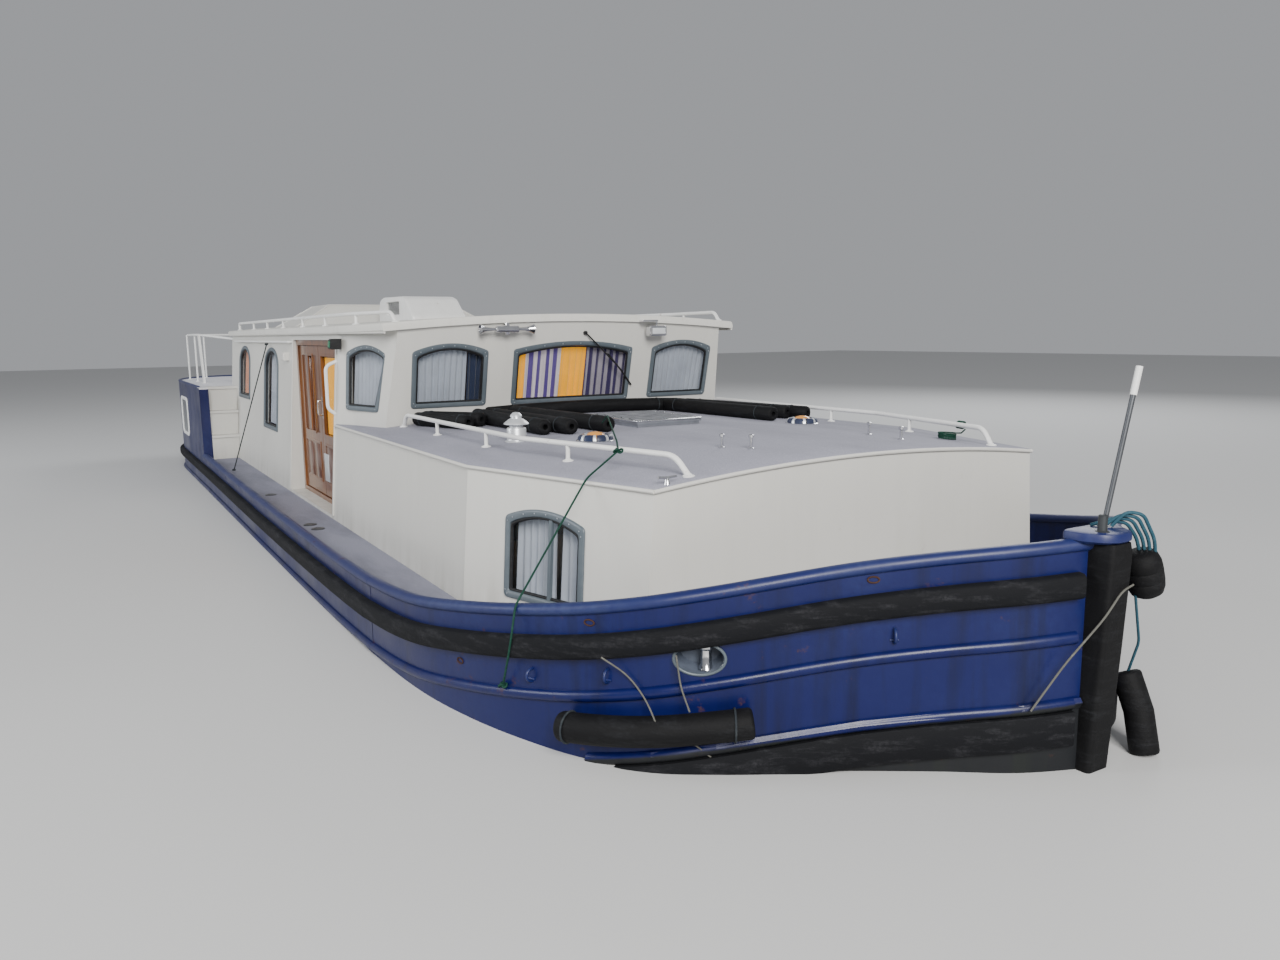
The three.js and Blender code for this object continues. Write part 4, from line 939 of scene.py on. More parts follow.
# cream edge of the fore cabin's roof, and a drip bead under the wheelhouse's
def buildRoofBeads():
    fore, house = roofs["fore"], roofs["house"]
    port = [spot(s, y - 0.002, deck + fore["edge"] - 0.012) for s, y in fore["stations"]]
    starboard = [Vector((p.x, -p.y, p.z)) for p in port[::-1]]
    tip, half = fore["stations"][0]
    across = [-half + 2 * half * k / 24 for k in range(25)]
    front = [Vector((station(tip) - 0.002, y, roofTop("fore", tip, y) - 0.013)) for y in across]
    addPiece("foreRoofBead", [tube(path, 0.011, 10) for path in (starboard, front, port)], "cream", 60)
    low = deck + house["edge"] + 0.003
    lips = [tube([spot(s, side * (y - 0.012), low) for s, y in house["stations"]], 0.009, 8) for side in (-1, 1)]
    addPiece("houseRoofBead", lips, "cream", 60)


buildRoofBeads()
print("roofs built")

# Windows

windowShapes = {
    "arch": 26,
    "frame": [
        # outward from the outline, proud of the wall
        (0.003, -0.002), (0.003, 0.006), (0.000, 0.011), (-0.006, 0.013), (-0.026, 0.013), (-0.032, 0.010),
        (-0.035, 0.003), (-0.035, -0.022), (-0.030, -0.024), (0.000, -0.024),
    ],
    "gasket": [
        (-0.0355, -0.008), (-0.0355, 0.004), (-0.040, 0.006), (-0.047, 0.002), (-0.049, -0.006), (-0.046, -0.012),
    ],
    "glass": (-0.040, -0.017, -0.011),  # outward from the outline, back, front
    "curtainBack": 0.068,
}


# a slanting side wall between two corners, which leans in like the rest
def facetPlace(aft, fore, side):
    way = (Vector(fore) - Vector(aft)).normalized()
    return {"place": (aft[0], side * aft[1]), "facing": (abs(way.y), side * abs(way.x)),
            "tilt": houseWall["lean"] * abs(way.x), "flip": side > 0}


# the wheelhouse's sloping front: its lean for each metre up, and its station at the deck's height
frontTilt = 0.25
frontPlane = -3.570 - frontTilt * roofs["fore"]["edge"]
sizes = {
    "centre": {"left": -0.542, "right": 0.542, "bottom": 0.938, "shoulder": 1.378, "crown": 1.438},
    "front": {"left": -0.303, "right": 0.303, "bottom": 0.944, "shoulder": 1.372, "crown": 1.434},
    "side": {"left": 0.185, "right": 0.662, "rightTop": 0.785, "bottom": 0.918, "shoulder": 1.368, "crown": 1.428},
    "cabin": {"left": 0.360, "right": 0.953, "bottom": 0.112, "shoulder": 0.545, "crown": 0.602},
}
windows = {
    "window_front_centre": {
        "place": (frontPlane, 0.034), "facing": (1, 0), "tilt": frontTilt, "flip": False, "size": "centre",
        "curtains": [(-0.535, -0.412, "yellowCurtain"), (-0.412, -0.096, "stripedCurtain"),
                     (-0.096, 0.134, "yellowCurtain"), (0.134, 0.535, "darkStripes")],
    },
    "window_front_starboard": {
        "place": (frontPlane, -1.032), "facing": (1, 0), "tilt": frontTilt, "flip": False, "size": "front",
        "curtains": [(-0.300, 0.150, "whiteCurtain"), (0.162, 0.300, "blueCurtain")],
    },
    "window_front_port": {
        "place": (frontPlane, 1.080), "facing": (1, 0), "tilt": frontTilt, "flip": False, "size": "front",
        "curtains": [(-0.300, 0.300, "whiteCurtain")],
    },
}
for side, sideName in bothSides:
    houseFacet = facetPlace((-4.300, 1.780), (-3.570, 1.5891), side)
    cabinFacet = facetPlace((-1.320, 1.780), (0.0, 1.378), side)
    windows["window_side_" + sideName] = {
        **houseFacet, "size": "side", "curtains": [(0.200, 0.690, "whiteCurtain")],
    }
    windows["window_cabin_" + sideName] = {
        **cabinFacet, "size": "cabin",
        "curtains": [(0.385, 0.690, "whiteCurtain"), (0.735, 0.930, "whiteCurtain")],
    }


def roundPolygon(corners, radii, steps=5):
    result = []
    count = len(corners)
    for i, corner in enumerate(corners):
        corner, radius = Vector(corner), radii[i]
        if radius == 0:
            result.append(corner)
            continue
        before, after = Vector(corners[i - 1]), Vector(corners[(i + 1) % count])
        start = corner + (before - corner).normalized() * radius
        result += arcTo(start, corner, corner + (after - corner).normalized() * radius, steps)
    return result


# a window's outline with a slightly crowned head, in (across, up)
def archOutline(size, grow=0.0):
    x0, x1 = size["left"] - grow, size["right"] + grow
    x2 = size.get("rightTop", size["right"]) + grow
    z0, z1, z2 = size["bottom"] - grow, size["shoulder"] + grow, size["crown"] + grow
    steps = windowShapes["arch"]
    corners, radii = [(x0, z0), (x1, z0), (x2, z1)], [0.030 + grow * 0.5, 0.030 + grow * 0.5, 0.022]
    for k in range(2, steps - 1):
        share = k / steps
        corners.append((x2 + (x0 - x2) * share, z1 + (z2 - z1) * (1 - (2 * share - 1) ** 2)))
        radii.append(0)
    corners.append((x0, z1))
    radii.append(0.022)
    return roundPolygon(corners, radii)


# a tall opening with a half-elliptic head
def slotOutline(size, grow=0.0):
    half, bottom, top = size["halfWide"] + grow, size["bottom"] - grow, size["top"]
    spring = top - size["halfWide"] * 0.5
    corners, radii = [(-half, bottom), (half, bottom)], [0.020, 0.020]
    for k in range(25):
        turn = math.pi * k / 24
        corners.append((half * math.cos(turn), spring + (size["halfWide"] * 0.5 + grow) * math.sin(turn)))
        radii.append(0)
    return roundPolygon(corners, radii)


# a closed bar round an opening; profile's columns: outward from the outline, proud of the wall
def ringAlong(at, outline, profile):
    rings = [[at(a, u, out) for a, u in outline(grow)] for grow, out in profile]
    return loft(rings, closedRun=True)


def paneIn(at, outline, grow, back, front):
    points = outline(grow)
    return loft([[at(a, u, out) for a, u in points] for out in (back, front)])


# a gathered curtain with soft folds that open a little towards its foot
def hangCurtain(name, at, left, right, low, high, look, rod, body="boat", deep=0.013, pitch=0.052, back=None):
    back = windowShapes["curtainBack"] if back is None else back
    wide = right - left
    folds = max(2, round(wide / pitch))
    across, down = folds * 10, 10
    grid = []
    for v in [j / down for j in range(down + 1)]:
        row = []
        for t in [i / across for i in range(across + 1)]:
            wave = math.sin(2 * math.pi * folds * t + 0.6 * math.sin(7.3 * t + 1.7 * v))
            swell = deep * (0.75 + 0.35 * v) * (1 + 0.25 * math.sin(11 * t + 2))
            row.append(at(left + wide * t, high + (low - high) * v, -back + wave * swell))
        grid.append(row)
    corners = [j * (across + 1) + i for j in range(down) for i in range(across)]
    faces = [(a, a + 1, a + across + 2, a + across + 1) for a in corners]
    flatWide = sum((b - a).length for a, b in zip(grid[down // 2], grid[down // 2][1:]))
    sheet = addPiece(name, ([p for row in grid for p in row], faces), look, 80, body, closed=False)


def buildWindows():
    back = windowShapes["curtainBack"]
    screws = []
    for node, entry in windows.items():
        at = wallPlace(entry)
        size = sizes[entry["size"]]

        def outline(grow, size=size):
            return archOutline(size, grow)

        label = node.replace("window_", "")
        rim = addPiece(label + "WindowFrame", ringAlong(at, outline, windowShapes["frame"]), "frameGrey", 40)
        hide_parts(node)
        addPiece(label + "WindowSeal", ringAlong(at, outline, windowShapes["gasket"]), "blackPlastic", 60)
        addPiece(label + "WindowPane", paneIn(at, outline, *windowShapes["glass"]), "glass", 30)
        if entry["size"] == "cabin":
            low, high = size["bottom"] + 0.034, size["crown"] - 0.042
            corners = ((0.700, low), (0.722, low), (0.722, high), (0.700, high))
            bar = loft([[at(a, u, out) for a, u in corners] for out in (-0.008, 0.010)])
            addPiece(label + "WindowPost", bar, "frameGrey", 30)
        right = size["right"] - 0.01 if entry["size"] == "side" else size["right"] + 0.02
        rail = [at(a, size["crown"] + 0.030, -back) for a in (size["left"] - 0.02, right)]
        rod = addPiece(label + "CurtainRod", tube(rail, 0.006, 10), "aluminium", 60)
        low, high = size["bottom"] + 0.004, size["crown"] + 0.026
        for n, (left, stop, cloth) in enumerate(entry["curtains"]):
            hangCurtain(f"{label}Curtain{n + 1}", at, left, stop, low, high, cloth, rod.name)
        for a, u in outline(-0.016)[::4]:
            screws.append((at(a, u, 0.0128), at(a, u, 1.0) - at(a, u, 0)))
    addHeads("windowScrews", screws, 0.0045, 0.0022, "aluminium")


slots = [
    {"station": -7.130, "halfWide": 0.355, "bottom": 0.555, "top": 1.361, "curtain": ("whiteCurtain", -0.30, 0.10)},
    {"station": -8.830, "halfWide": 0.350, "bottom": 0.800, "top": 1.369, "curtain": ("pinkCurtain", -0.30, 0.30)},
]


def buildSlots():
    frames, seals, panes = [], [], []
    for side, sideName in bothSides:
        for number, size in enumerate(slots):
            at = houseSide(size["station"], side)

            def outline(grow, size=size):
                return slotOutline(size, grow)

            profile = [(0.030, 0.0006), (0.030, 0.008), (0.024, 0.012), (-0.002, 0.012), (-0.010, 0.004),
                       (-0.010, -0.030), (-0.0006, -0.030), (-0.0006, 0.0006)]
            frames.append(ringAlong(at, outline, profile))
            seals.append(ringAlong(at, outline, [(-0.0105, -0.016), (-0.0105, -0.003), (-0.022, -0.005),
                                                 (-0.026, -0.012), (-0.022, -0.016)]))
            panes.append(paneIn(at, outline, -0.016, -0.020, -0.015))
            cloth, left, right = size["curtain"]
            low, high = size["bottom"] + 0.02, size["top"] - 0.05
            label = f"slot{'Fore' if number == 0 else 'Aft'}{sideName.capitalize()}"
            rail = [at(-0.33, high + 0.008, -0.068), at(0.33, high + 0.008, -0.068)]
            rod = addPiece(label + "CurtainRod", tube(rail, 0.006, 10), "aluminium", 60)
            hangCurtain(label + "Curtain", at, left, right, low, high, cloth, rod.name)
    addPiece("slotWindowFrames", frames, "frameGrey", 40)
    addPiece("slotWindowSeals", seals, "blackPlastic", 60)
    addPiece("slotWindowPanes", panes, "glass", 30)
    rims, lights = [], []
    for side in (-1, 1):
        entry = {"place": (-11.000, side * 2.180), "facing": (0, side), "tilt": 0, "flip": side > 0}
        at = wallPlace(entry)

        def outline(grow):
            half, low, high = 0.360 + grow, 0.170 - grow, 0.700 + grow
            return roundPolygon([(-half, low), (half, low), (half, high), (-half, high)], [0.11] * 4, 8)

        rims.append(ringAlong(at, outline, [(0.0, 0.0006), (0.0, 0.008), (-0.008, 0.014), (-0.036, 0.014),
                                            (-0.044, 0.008), (-0.046, 0.0006)]))
        lights.append(paneIn(at, outline, -0.045, 0.0006, 0.004))
    addPiece("aftWindowFrames", rims, "white", 40)
    addPiece("aftWindowPanes", lights, "darkGlass", 30)


buildWindows()
buildSlots()
print("windows and curtains built")

# Doors

doorLook = {
    "proud": 0.006, "stile": 0.095, "glassLow": 0.560, "glassHigh": 0.085, "panelLow": 0.110, "panelHigh": 0.480,
    "aftPane": 0.150, "handleLow": 1.905, "handleHigh": 2.035,
    "face": 1.635, "pane": 1.618, "rod": 1.601,  # distances from the middle line
}


# a flat moulding round a rectangle; put turns (across, up, out) into a place
def frameBar(put, a0, a1, z0, z1, wide, proud):
    soft = 0.003
    rings = []
    for grow, out in ((0, -0.004), (0, proud - soft), (-soft, proud), (soft - wide, proud), (-wide, proud - soft),
                      (-wide, -0.004)):
        corners = [(a0 - grow, z0 - grow), (a1 + grow, z0 - grow), (a1 + grow, z1 + grow), (a0 - grow, z1 + grow)]
        rings.append([put(a, z, out) for a, z in corners])
    return loft(rings, closedRun=True)


def buildDoorLeaf(node, body, side, kind):
    low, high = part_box(node)
    x0, x1, z0, z1 = low[0], high[0], low[2] + 0.005, high[2] - 0.005
    y, paneY, rodY = (side * doorLook[part] for part in ("face", "pane", "rod"))
    gx0, gx1 = x0 + doorLook["stile"], x1 - doorLook["stile"]
    gz0, gz1 = z0 + doorLook["glassLow"], z1 - doorLook["glassHigh"]
    pz0, pz1 = z0 + doorLook["panelLow"], z0 + doorLook["panelHigh"]
    nx0, nx1 = gx0, gx1
    label = node.replace("door_", "door")
    panels = []
    if kind == "aft":
        middle = (gx0 + gx1) / 2 + 0.06
        nx0, nx1 = middle - doorLook["aftPane"] / 2, middle + doorLook["aftPane"] / 2
        for a, b in ((gx0 - 0.001, nx0), (nx1, gx1 + 0.001)):
            panels.append(slab((a, y - side * 0.036, gz0 - 0.001), (b, y - side * 0.008, gz1 + 0.001), 0.002))

    def onLeaf(a, u, out):
        return Vector((a, y + side * out, u))

    def behind(a, u, out):
        return Vector((a if side < 0 else nx0 + nx1 - a, rodY + side * out, u))

    mouldings = [
        frameBar(onLeaf, nx0 - 0.016, nx1 + 0.016, gz0 - 0.016, gz1 + 0.016, 0.020, doorLook["proud"]),
        frameBar(onLeaf, gx0 - 0.006, gx1 + 0.006, pz0, pz1, 0.018, doorLook["proud"])]
    half = (gx0 + gx1) / 2
    inner, outer = sorted((y - side * 0.004, y + side * 0.005))
    for a, b in ((gx0 + 0.022, half - 0.010), (half + 0.010, gx1 - 0.022)):
        panels.append(slab((a, inner, pz0 + 0.028), (b, outer, pz1 - 0.028), 0.004))
    addPiece(label + "Mouldings", mouldings, "wood", 30, body)
    addPiece(label + "Panels", panels, "woodDark", 30, body)
    pane = slab((nx0 + 0.001, paneY - 0.003, gz0 + 0.001), (nx1 - 0.001, paneY + 0.003, gz1 - 0.001), 0.001)
    addPiece(label + "Pane", pane, "glass", 30, body)
    rail = tube([(nx0 + 0.002, rodY, gz1 - 0.012), (nx1 - 0.002, rodY, gz1 - 0.012)], 0.004, 8)
    rod = addPiece(label + "CurtainRod", rail, "aluminium", 60, body)
    hangCurtain(label + "Curtain", behind, nx0 + 0.004, nx1 - 0.004, gz0 + 0.006, gz1 - 0.014, "yellowCurtain",
                rod.name, body, deep=0.0045, pitch=0.034, back=0.0)
    if kind == "aft":
        return
    if side < 0:
        flap = slab((x0 + 0.030, y - 0.009, pz0 + 0.030), (x0 + 0.190, y - 0.003, pz1 - 0.090), 0.003)
        addPiece(label + "Flap", flap, "aluminiumWhite", 30, body)
    x, reach, foot, head = x0 + 0.060, y + side * 0.042, doorLook["handleLow"], doorLook["handleHigh"]
    grip = roundCorners([(x, y, foot), (x, reach, foot), (x, reach, head), (x, y, head)], 0.018)
    inner, outer = sorted((y - side * 0.001, y + side * 0.004))
    plate = slab((x - 0.016, inner, foot - 0.035), (x + 0.016, outer, head + 0.035), 0.002)
    addPiece(label + "Handle", [tube(grip, 0.007, 12), plate], "chrome", 50, body)


for side, sideName in bothSides:
    for kind in ("fore", "aft"):
        node = f"door_{kind}_leaf_{sideName}"
        buildDoorLeaf(node, node + "_body", side, kind)


# cream cover strips up both sides of each doorway
def buildDoorTrim():
    profile = ((-0.016, 0.0006), (0.016, 0.0006), (0.016, 0.008), (0.010, 0.012), (-0.010, 0.012), (-0.016, 0.008))
    trims = []
    for side in (-1, 1):
        for s in (-4.345 + 0.016, -6.020 - 0.016):
            trims.append(loft([[spot(s + a, side * (houseWall["half"] + houseWall["lean"] * u + out), deck + u)
                                for a, out in profile] for u in (0.030, 1.480)]))
    addPiece("doorwayStrips", trims, "cream", 40)


buildDoorTrim()
print("doors dressed")

# Bow: nose plate, hawse recesses, fenders, stem guard and their lines


def buildNose():
    corners = [(s, y) for s, y in bow["nose"][::-1]] + [(s, -y) for s, y in bow["nose"]]
    outline = roundPolygon(corners[::-1], [0.02, 0.03, 0.03, 0.02, 0.02, 0.03, 0.03, 0.02], 6)
    middle, top = Vector((1.350, 0)), bow["noseTop"]
    low = top - bow["noseThick"]
    rings = []
    for inset, z in ((0.012, low), (0, low + 0.010), (0, top - 0.014), (0.005, top - 0.004), (0.016, top)):
        shrunk = [p + (middle - p).normalized() * inset for p in outline]
        rings.append([spot(p.x, p.y, z) for p in shrunk])
    addPiece("nosePlate", loft(rings), "capBlue", 40)


def buildHawses():
    cups, rims, posts = [], [], []
    deep, up = bow["hawse"]["deep"], bow["hawse"]["up"]
    for side in (-1, 1):
        at = hawsePlace(side)
        cups.append(loft([ellipseRing(at, scale, out, grow=grow) for scale, out, grow in (
            (0.02, -deep - 0.004, 0), (1.0, -deep - 0.004, 0.003), (1.0, 0.003, 0.003), (1.0, 0.003, -0.002),
            (0.96, -deep * 0.8, 0), (0.80, -deep, 0), (0.02, -deep, 0))]))
        rims.append(tube(ellipseRing(at, 1.0, 0.006, 44, 0.004), 0.007, 12, closed=True))
        profile = [(0.034, 0), (0.030, 0.010), (0.024, 0.018), (0.023, 0.082), (0.033, 0.092), (0.034, 0.104),
                   (0.026, 0.112)]
        posts.append(turned(profile, at(0.026, up - 0.058, -0.048)))
    addPiece("hawseCups", cups, "cupGrey", 40)
    addPiece("hawseRims", rims, "frameGrey", 60)
    addPiece("hawsePosts", posts, "chrome", 40)


# a foam fender with rounded ends and an open bore
def hollowBar(path, radius, sides=20):
    bore, deep, nose = 0.35, 0.05, 0.016  # the bore as a share of the radius, its depth and the rounding
    path = [Vector(p) for p in path]
    wayA, wayB = (path[1] - path[0]).normalized(), (path[-1] - path[-2]).normalized()
    inner = [path[0] + wayA * nose] + path[1:-1] + [path[-1] - wayB * nose]
    points = tube(inner, radius, sides)[0]
    rings = [points[i * sides:(i + 1) * sides] for i in range(len(inner))]
    ends = [(0.94, nose * 0.6), (0.8, nose * 0.92), (bore + 0.08, nose), (bore, nose * 0.9), (bore, nose - deep),
            (0.02, nose - deep)]

    def cap(ring, centre, way):
        return [[centre + (p - centre) * share + way * shift for p in ring] for share, shift in ends]

    return loft(cap(rings[0], inner[0], -wayA)[::-1] + rings + cap(rings[-1], inner[-1], wayB))


# the slung fender hangs under the upper ledge and drops away from it a little towards the stem
def slungPath():
    path = []
    for s in [0.640 - 0.560 * k / 14 for k in range(15)]:
        z = capHeight(s) - 0.490 - bow["fenderRadius"] - (s - 0.300) * 0.1
        path.append(onSide(s, z, bow["fenderRadius"] + 0.0024))
    return path


def buildLashings():
    path, loop = slungPath(), bow["fenderRadius"] + 0.003
    straps = []
    for k in (1, 13):
        way = (path[k + 1] - path[k - 1]).normalized()
        out = Vector((way.y, -way.x, 0)).normalized()
        straps.append(hoop(path[k], out * loop, Vector((0, 0, loop)), 0.005, 28))
    addPiece("fenderLashings", straps, "darkRope", 60)


# the slung fender, the two fenders at the stem and the four turns of rope that hold them
def buildFenders():
    top = bow["noseTop"]
    slung = addPiece("slungFender", hollowBar(slungPath(), bow["fenderRadius"]), "rubber", 45)
    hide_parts("hung_fender")
    turn = Matrix.Translation(spot(1.418, 0.222, deck + 0.478)) @ Matrix.Rotation(0.35, 4, "X")
    half = [(0.077, 0.022), (0.074, 0.026), (0.077, 0.030), (0.074, 0.060), (0.064, 0.088), (0.045, 0.102),
            (0.020, 0.104)]
    points, faces = turned([(r, -h) for r, h in half[::-1]] + half, (0, 0, 0))
    hanging = hollowBar([spot(1.300, 0.330, deck - 0.010), spot(1.372, 0.330, deck - 0.170),
                         spot(1.425, 0.310, deck - 0.348)], 0.062, 24)
    addPiece("bowFenders", [([turn @ p for p in points], faces), hanging], "rubber", 45)
    ropes = [tube(roundCorners([spot(1.410, 0.185, deck + 0.385), spot(1.370, 0.300, deck + 0.150),
                                spot(1.312, 0.330, deck - 0.004)], 0.028, 6), 0.006, 10)]
    for n in range(4):
        strand = [spot(1.296 + 0.022 * n, 0.018 + 0.014 * n, top + 0.005),
                  spot(1.335 + 0.022 * n, 0.066 + 0.010 * n, top + 0.024 + 0.015 * n),
                  spot(1.385 + 0.020 * n, 0.128 + 0.006 * n, top + 0.018 + 0.014 * n),
                  spot(1.402 + 0.020 * n, 0.178 + 0.010 * n, top - 0.050),
                  spot(1.404 + 0.018 * n, 0.204 + 0.008 * n, deck + 0.562)]
        ropes.append(tube(roundCorners(strand, 0.028, 6), 0.0075, 10))
    addPiece("noseRopes", ropes, "blueRope", 60)


def buildStemGuard():
    stem, (second, halfBreadth) = hullLines["stem"], hullLines["plan"][1]
    slope = (stem - second) / halfBreadth
    rings = []
    for z, proud, shrink in ((0.652, 0.026, 0), (1.280, 0.066, 0), (1.652, 0.084, 0), (1.700, 0.084, 0),
                             (1.7365, 0.080, 0.006)):
        front, half, root = stem + proud, hullLines["stemHalf"] - shrink, stem + 0.0006
        plan = roundPolygon([(root, 0), (root - half * slope, -half), (front, -half), (front, half),
                             (root - half * slope, half)], [0, 0, 0.024, 0.024, 0], 6)
        rings.append([spot(p.x, p.y, z) for p in plan])
    guard = addPiece("stemGuard", loft(rings), "rubber", 40)
    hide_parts("stem_fender")


# taut lines at the bow, each made fast at both ends
def buildStayLines():
    over = bow["fenderRadius"] * 2
    aft = [(0.250, 0.230, 0.0595), (0.330, 0.330, 0.014), (0.390, 0.440, 0.032), (0.440, 0.560, over + 0.010),
           (0.500, 0.640, 0.030)]
    fore = [(0.470, 0.250, 0.0595), (0.480, 0.400, 0.036), (0.500, 0.470, over + 0.006)]
    runs = [[onSide(s, capHeight(s) - drop, out) for s, drop, out in run] for run in (aft, fore)]
    runs[0].append(onSide(0.560, 0.800, 0.008))
    addPiece("fenderLines", [tube(roundCorners(run, radius), 0.004, 8) for run, radius in zip(runs, (0.06, 0.04))],
             "paleLine", 60)
    stem = [(1.468, 0.070, 1.560), (1.472, -0.010, 1.545), (1.450, -0.078, 1.440), (1.360, -0.190, 1.240),
            (1.295, -0.305, 1.040)]
    addPiece("stemLine", tube(roundCorners([spot(*p) for p in stem], 0.05), 0.0045, 10), "paleLine", 60)


# a point on the plating, the way out of it and the way along it
def plateSpot(s, drop, side):
    normal = sideAt(s)[1]
    way = Vector((normal.x, side * normal.y, 0))
    return onSide(s, capHeight(s) - drop, 0, side), way, Vector((-way.y, way.x, 0))


# small welded lugs and the rims of scuppers along the bow
def buildLugs():
    lugs, rims = [], []
    up, drop = Vector((0, 0, 1)), 0.330
    for side in (-1, 1):
        for s in (0.250, -0.120, 0.950):
            centre, way, along = plateSpot(s, drop, side)
            arc = [centre + way * (0.034 * math.sin(t)) + up * (0.030 * math.cos(t))
                   for t in [math.pi * k / 17 for k in range(18)]]
            foot = centre - up * 0.02
            lugs += [tube(arc, 0.007, 8), tube([foot - along * 0.018, foot + along * 0.018], 0.006, 8)]
        for s, depth in ((-0.620, 0.300), (0.180, 0.090), (0.900, 0.080)):
            centre, way, along = plateSpot(s, depth, side)
            rims.append(hoop(centre + way * 0.003, along * 0.024, up * 0.013, 0.004, 24))
    addPiece("bowLugs", lugs, "capBlue", 50)
    addPiece("scupperRims", rims, "rustySteel", 50)


buildNose()
buildHawses()
buildFenders()
buildStemGuard()
buildLashings()
buildStayLines()
buildLugs()
print("bow built")

# Rails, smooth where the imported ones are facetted

# radii of the bar, the posts and their flanges, and how high a bar stands over its roof
rails = {"radius": 0.015, "post": 0.012, "flange": 0.030, "lift": 0.095}


def flange(foot):
    wide, thin = rails["flange"], rails["post"]
    profile = [(wide, -0.006), (wide, 0.003), (wide - 0.004, 0.005), (thin + 0.006, 0.006), (thin + 0.001, 0.012)]
    return turned(profile, foot + Vector((0, 0, 0.001)), sides=20)


def post(s, y, foot, top):
    return [tube([spot(s, y, foot), spot(s, y, top)], rails["post"], 12), flange(spot(s, y, foot))]


# a rail that comes down to a roof at both ends, with posts between
def roofRail(name, kind, side, run, top, radius, posts):
    points = [spot(s, side * y, top(s, y)) for s, y in run]
    for end in (0, -1):
        points[end].z = roofTop(kind, *run[end]) + 0.001
    parts = [tube(roundCorners(points, radius), rails["radius"], 16), flange(points[0]), flange(points[-1])]
    for s, y in posts:
        foot = roofTop(kind, s, y)
        parts += post(s, side * y, foot, top(s, y) - (0.003 if kind == "fore" else 0))
    return addPiece(name, parts, "white", 50)


def buildHouseRail(side, sideName):
    level = deck + roofs["house"]["edge"] + roofs["house"]["thick"] + rails["lift"]
    run = [(-9.700, 1.590), (-9.700, 1.590), (-4.300, 1.590), (-3.480, 1.470), (-3.400, 1.460)]
    posts = [(s, 1.590) for s in (-8.654, -7.784, -6.887, -5.951, -5.040)] + [(-4.115, 1.563)]
    piece = roofRail(f"{sideName}HouseRail", "house", side, run, lambda s, y: level, 0.07, posts)
    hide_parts("wheelhouse_rail_" + sideName)


def buildCabinRail(side, sideName):
    run = [(-3.470, 1.415), (-3.390, 1.415), (-1.350, 1.395), (-0.165, 1.100), (-0.082, 1.075)]
    posts = [(-2.718, 1.410), (-1.840, 1.402), (-0.937, 1.292)]

    def top(s, y):
        return roofTop("fore", s, y) + rails["lift"]

    piece = roofRail(f"{sideName}CabinRail", "fore", side, run, top, 0.06, posts)
    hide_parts("cabin_rail_" + sideName)


def buildAftRail():
    top, foot = deck + 1.540, aftDeckHeight + seat
    half = [(-9.855, 1.651, top - 0.060), (-10.790, 1.960, top), (-12.050, 1.985, top), (-12.560, 1.700, top),
            (-12.800, 0.900, top)]
    path = [spot(s, -y, z) for s, y, z in half] + [spot(s, y, z) for s, y, z in half[::-1]]
    parts = [tube(roundCorners(path, 0.22, 8), rails["radius"], 16)]
    plate = [(-10.610, foot), (-10.846, top - 0.010), (-10.840, top), (-10.772, top), (-10.766, top - 0.010),
             (-10.522, foot)]
    for side in (-1, 1):
        for s, y in ((-11.200, 1.968), (-12.050, 1.978), (-12.560, 1.692), (-12.800, 0.900)):
            parts += post(s, side * y, foot, top)
        parts.append(loft([[spot(s, side * y, z) for s, z in plate] for y in (1.946, 1.972)]))
        for y in (1.930, 1.985):
            parts.append(tube([spot(s, side * y, foot + 0.002) for s in (-10.616, -10.516)], 0.005, 8))
    piece = addPiece("aftDeckRail", parts, "white", 45)
    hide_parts("aft_rail")


def buildJambRail(side, sideName):
    wall = [side * (houseWall["half"] + houseWall["lean"] * u) for u in (0.870, 1.300)]
    out = side * 1.775
    path = [spot(-4.322, y, deck + u) for y, u in ((wall[0], 0.870), (out, 0.915), (out, 1.262), (wall[1], 1.300))]
    piece = addPiece(f"{sideName}JambRail", tube(roundCorners(path, 0.05), 0.014, 16), "white", 60)
    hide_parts("door_handle_" + sideName)


# a small box on a wall; rings gives (out, inset) from its back to its face
def wallBox(at, left, right, low, high, rings):
    return loft([[at(a, u, out) for a, u in (
        (left + inset, low + inset), (right - inset, low + inset), (right - inset, high - inset),
        (left + inset, high - inset))] for out, inset in rings])


# long grab rails under the roof, lamp boxes and side lights
def buildSideGrabs():
    bars, boxes, lightBoxes, lenses = [], [], [], []
    for side in (-1, 1):
        at = houseSide(0, side)
        aft, fore, high, root, out = -9.370, -6.090, 1.450, -0.002, 0.040
        path = [at(aft, high, root), at(aft, high, out), at(fore, high, out), at(fore, high, root)]
        bars.append(tube(roundCorners(path, 0.03), 0.010, 14))
        for s in (-8.550, -7.730, -6.910):
            bars.append(tube([at(s, high, root), at(s, high, out)], 0.008, 10))
        boxes.append(wallBox(at, -6.350, -6.230, 1.270, 1.350, ((-0.002, 0), (0.044, 0), (0.055, 0.010))))
        lightBoxes.append(wallBox(at, -4.280, -4.190, 1.395, 1.480, ((-0.002, 0), (0.070, 0), (0.085, 0.010))))
        lenses.append(wallBox(at, -4.262, -4.208, 1.412, 1.464, ((0.083, 0), (0.089, 0))))
    addPiece("sideLightBoxes", lightBoxes, "blackPlastic", 30)
    addPiece("sideLightGreen", lenses[0], "lensGreen", 30)
    addPiece("sideLightRed", lenses[1], "lensRed", 30)
    addPiece("sideGrabRails", bars, "white", 50)
    addPiece("sideLampBoxes", boxes, "cream", 30)


for side, sideName in bothSides:
    buildHouseRail(side, sideName)
    buildCabinRail(side, sideName)
    buildJambRail(side, sideName)
buildAftRail()
buildSideGrabs()
print("rails built")

# Roof gear

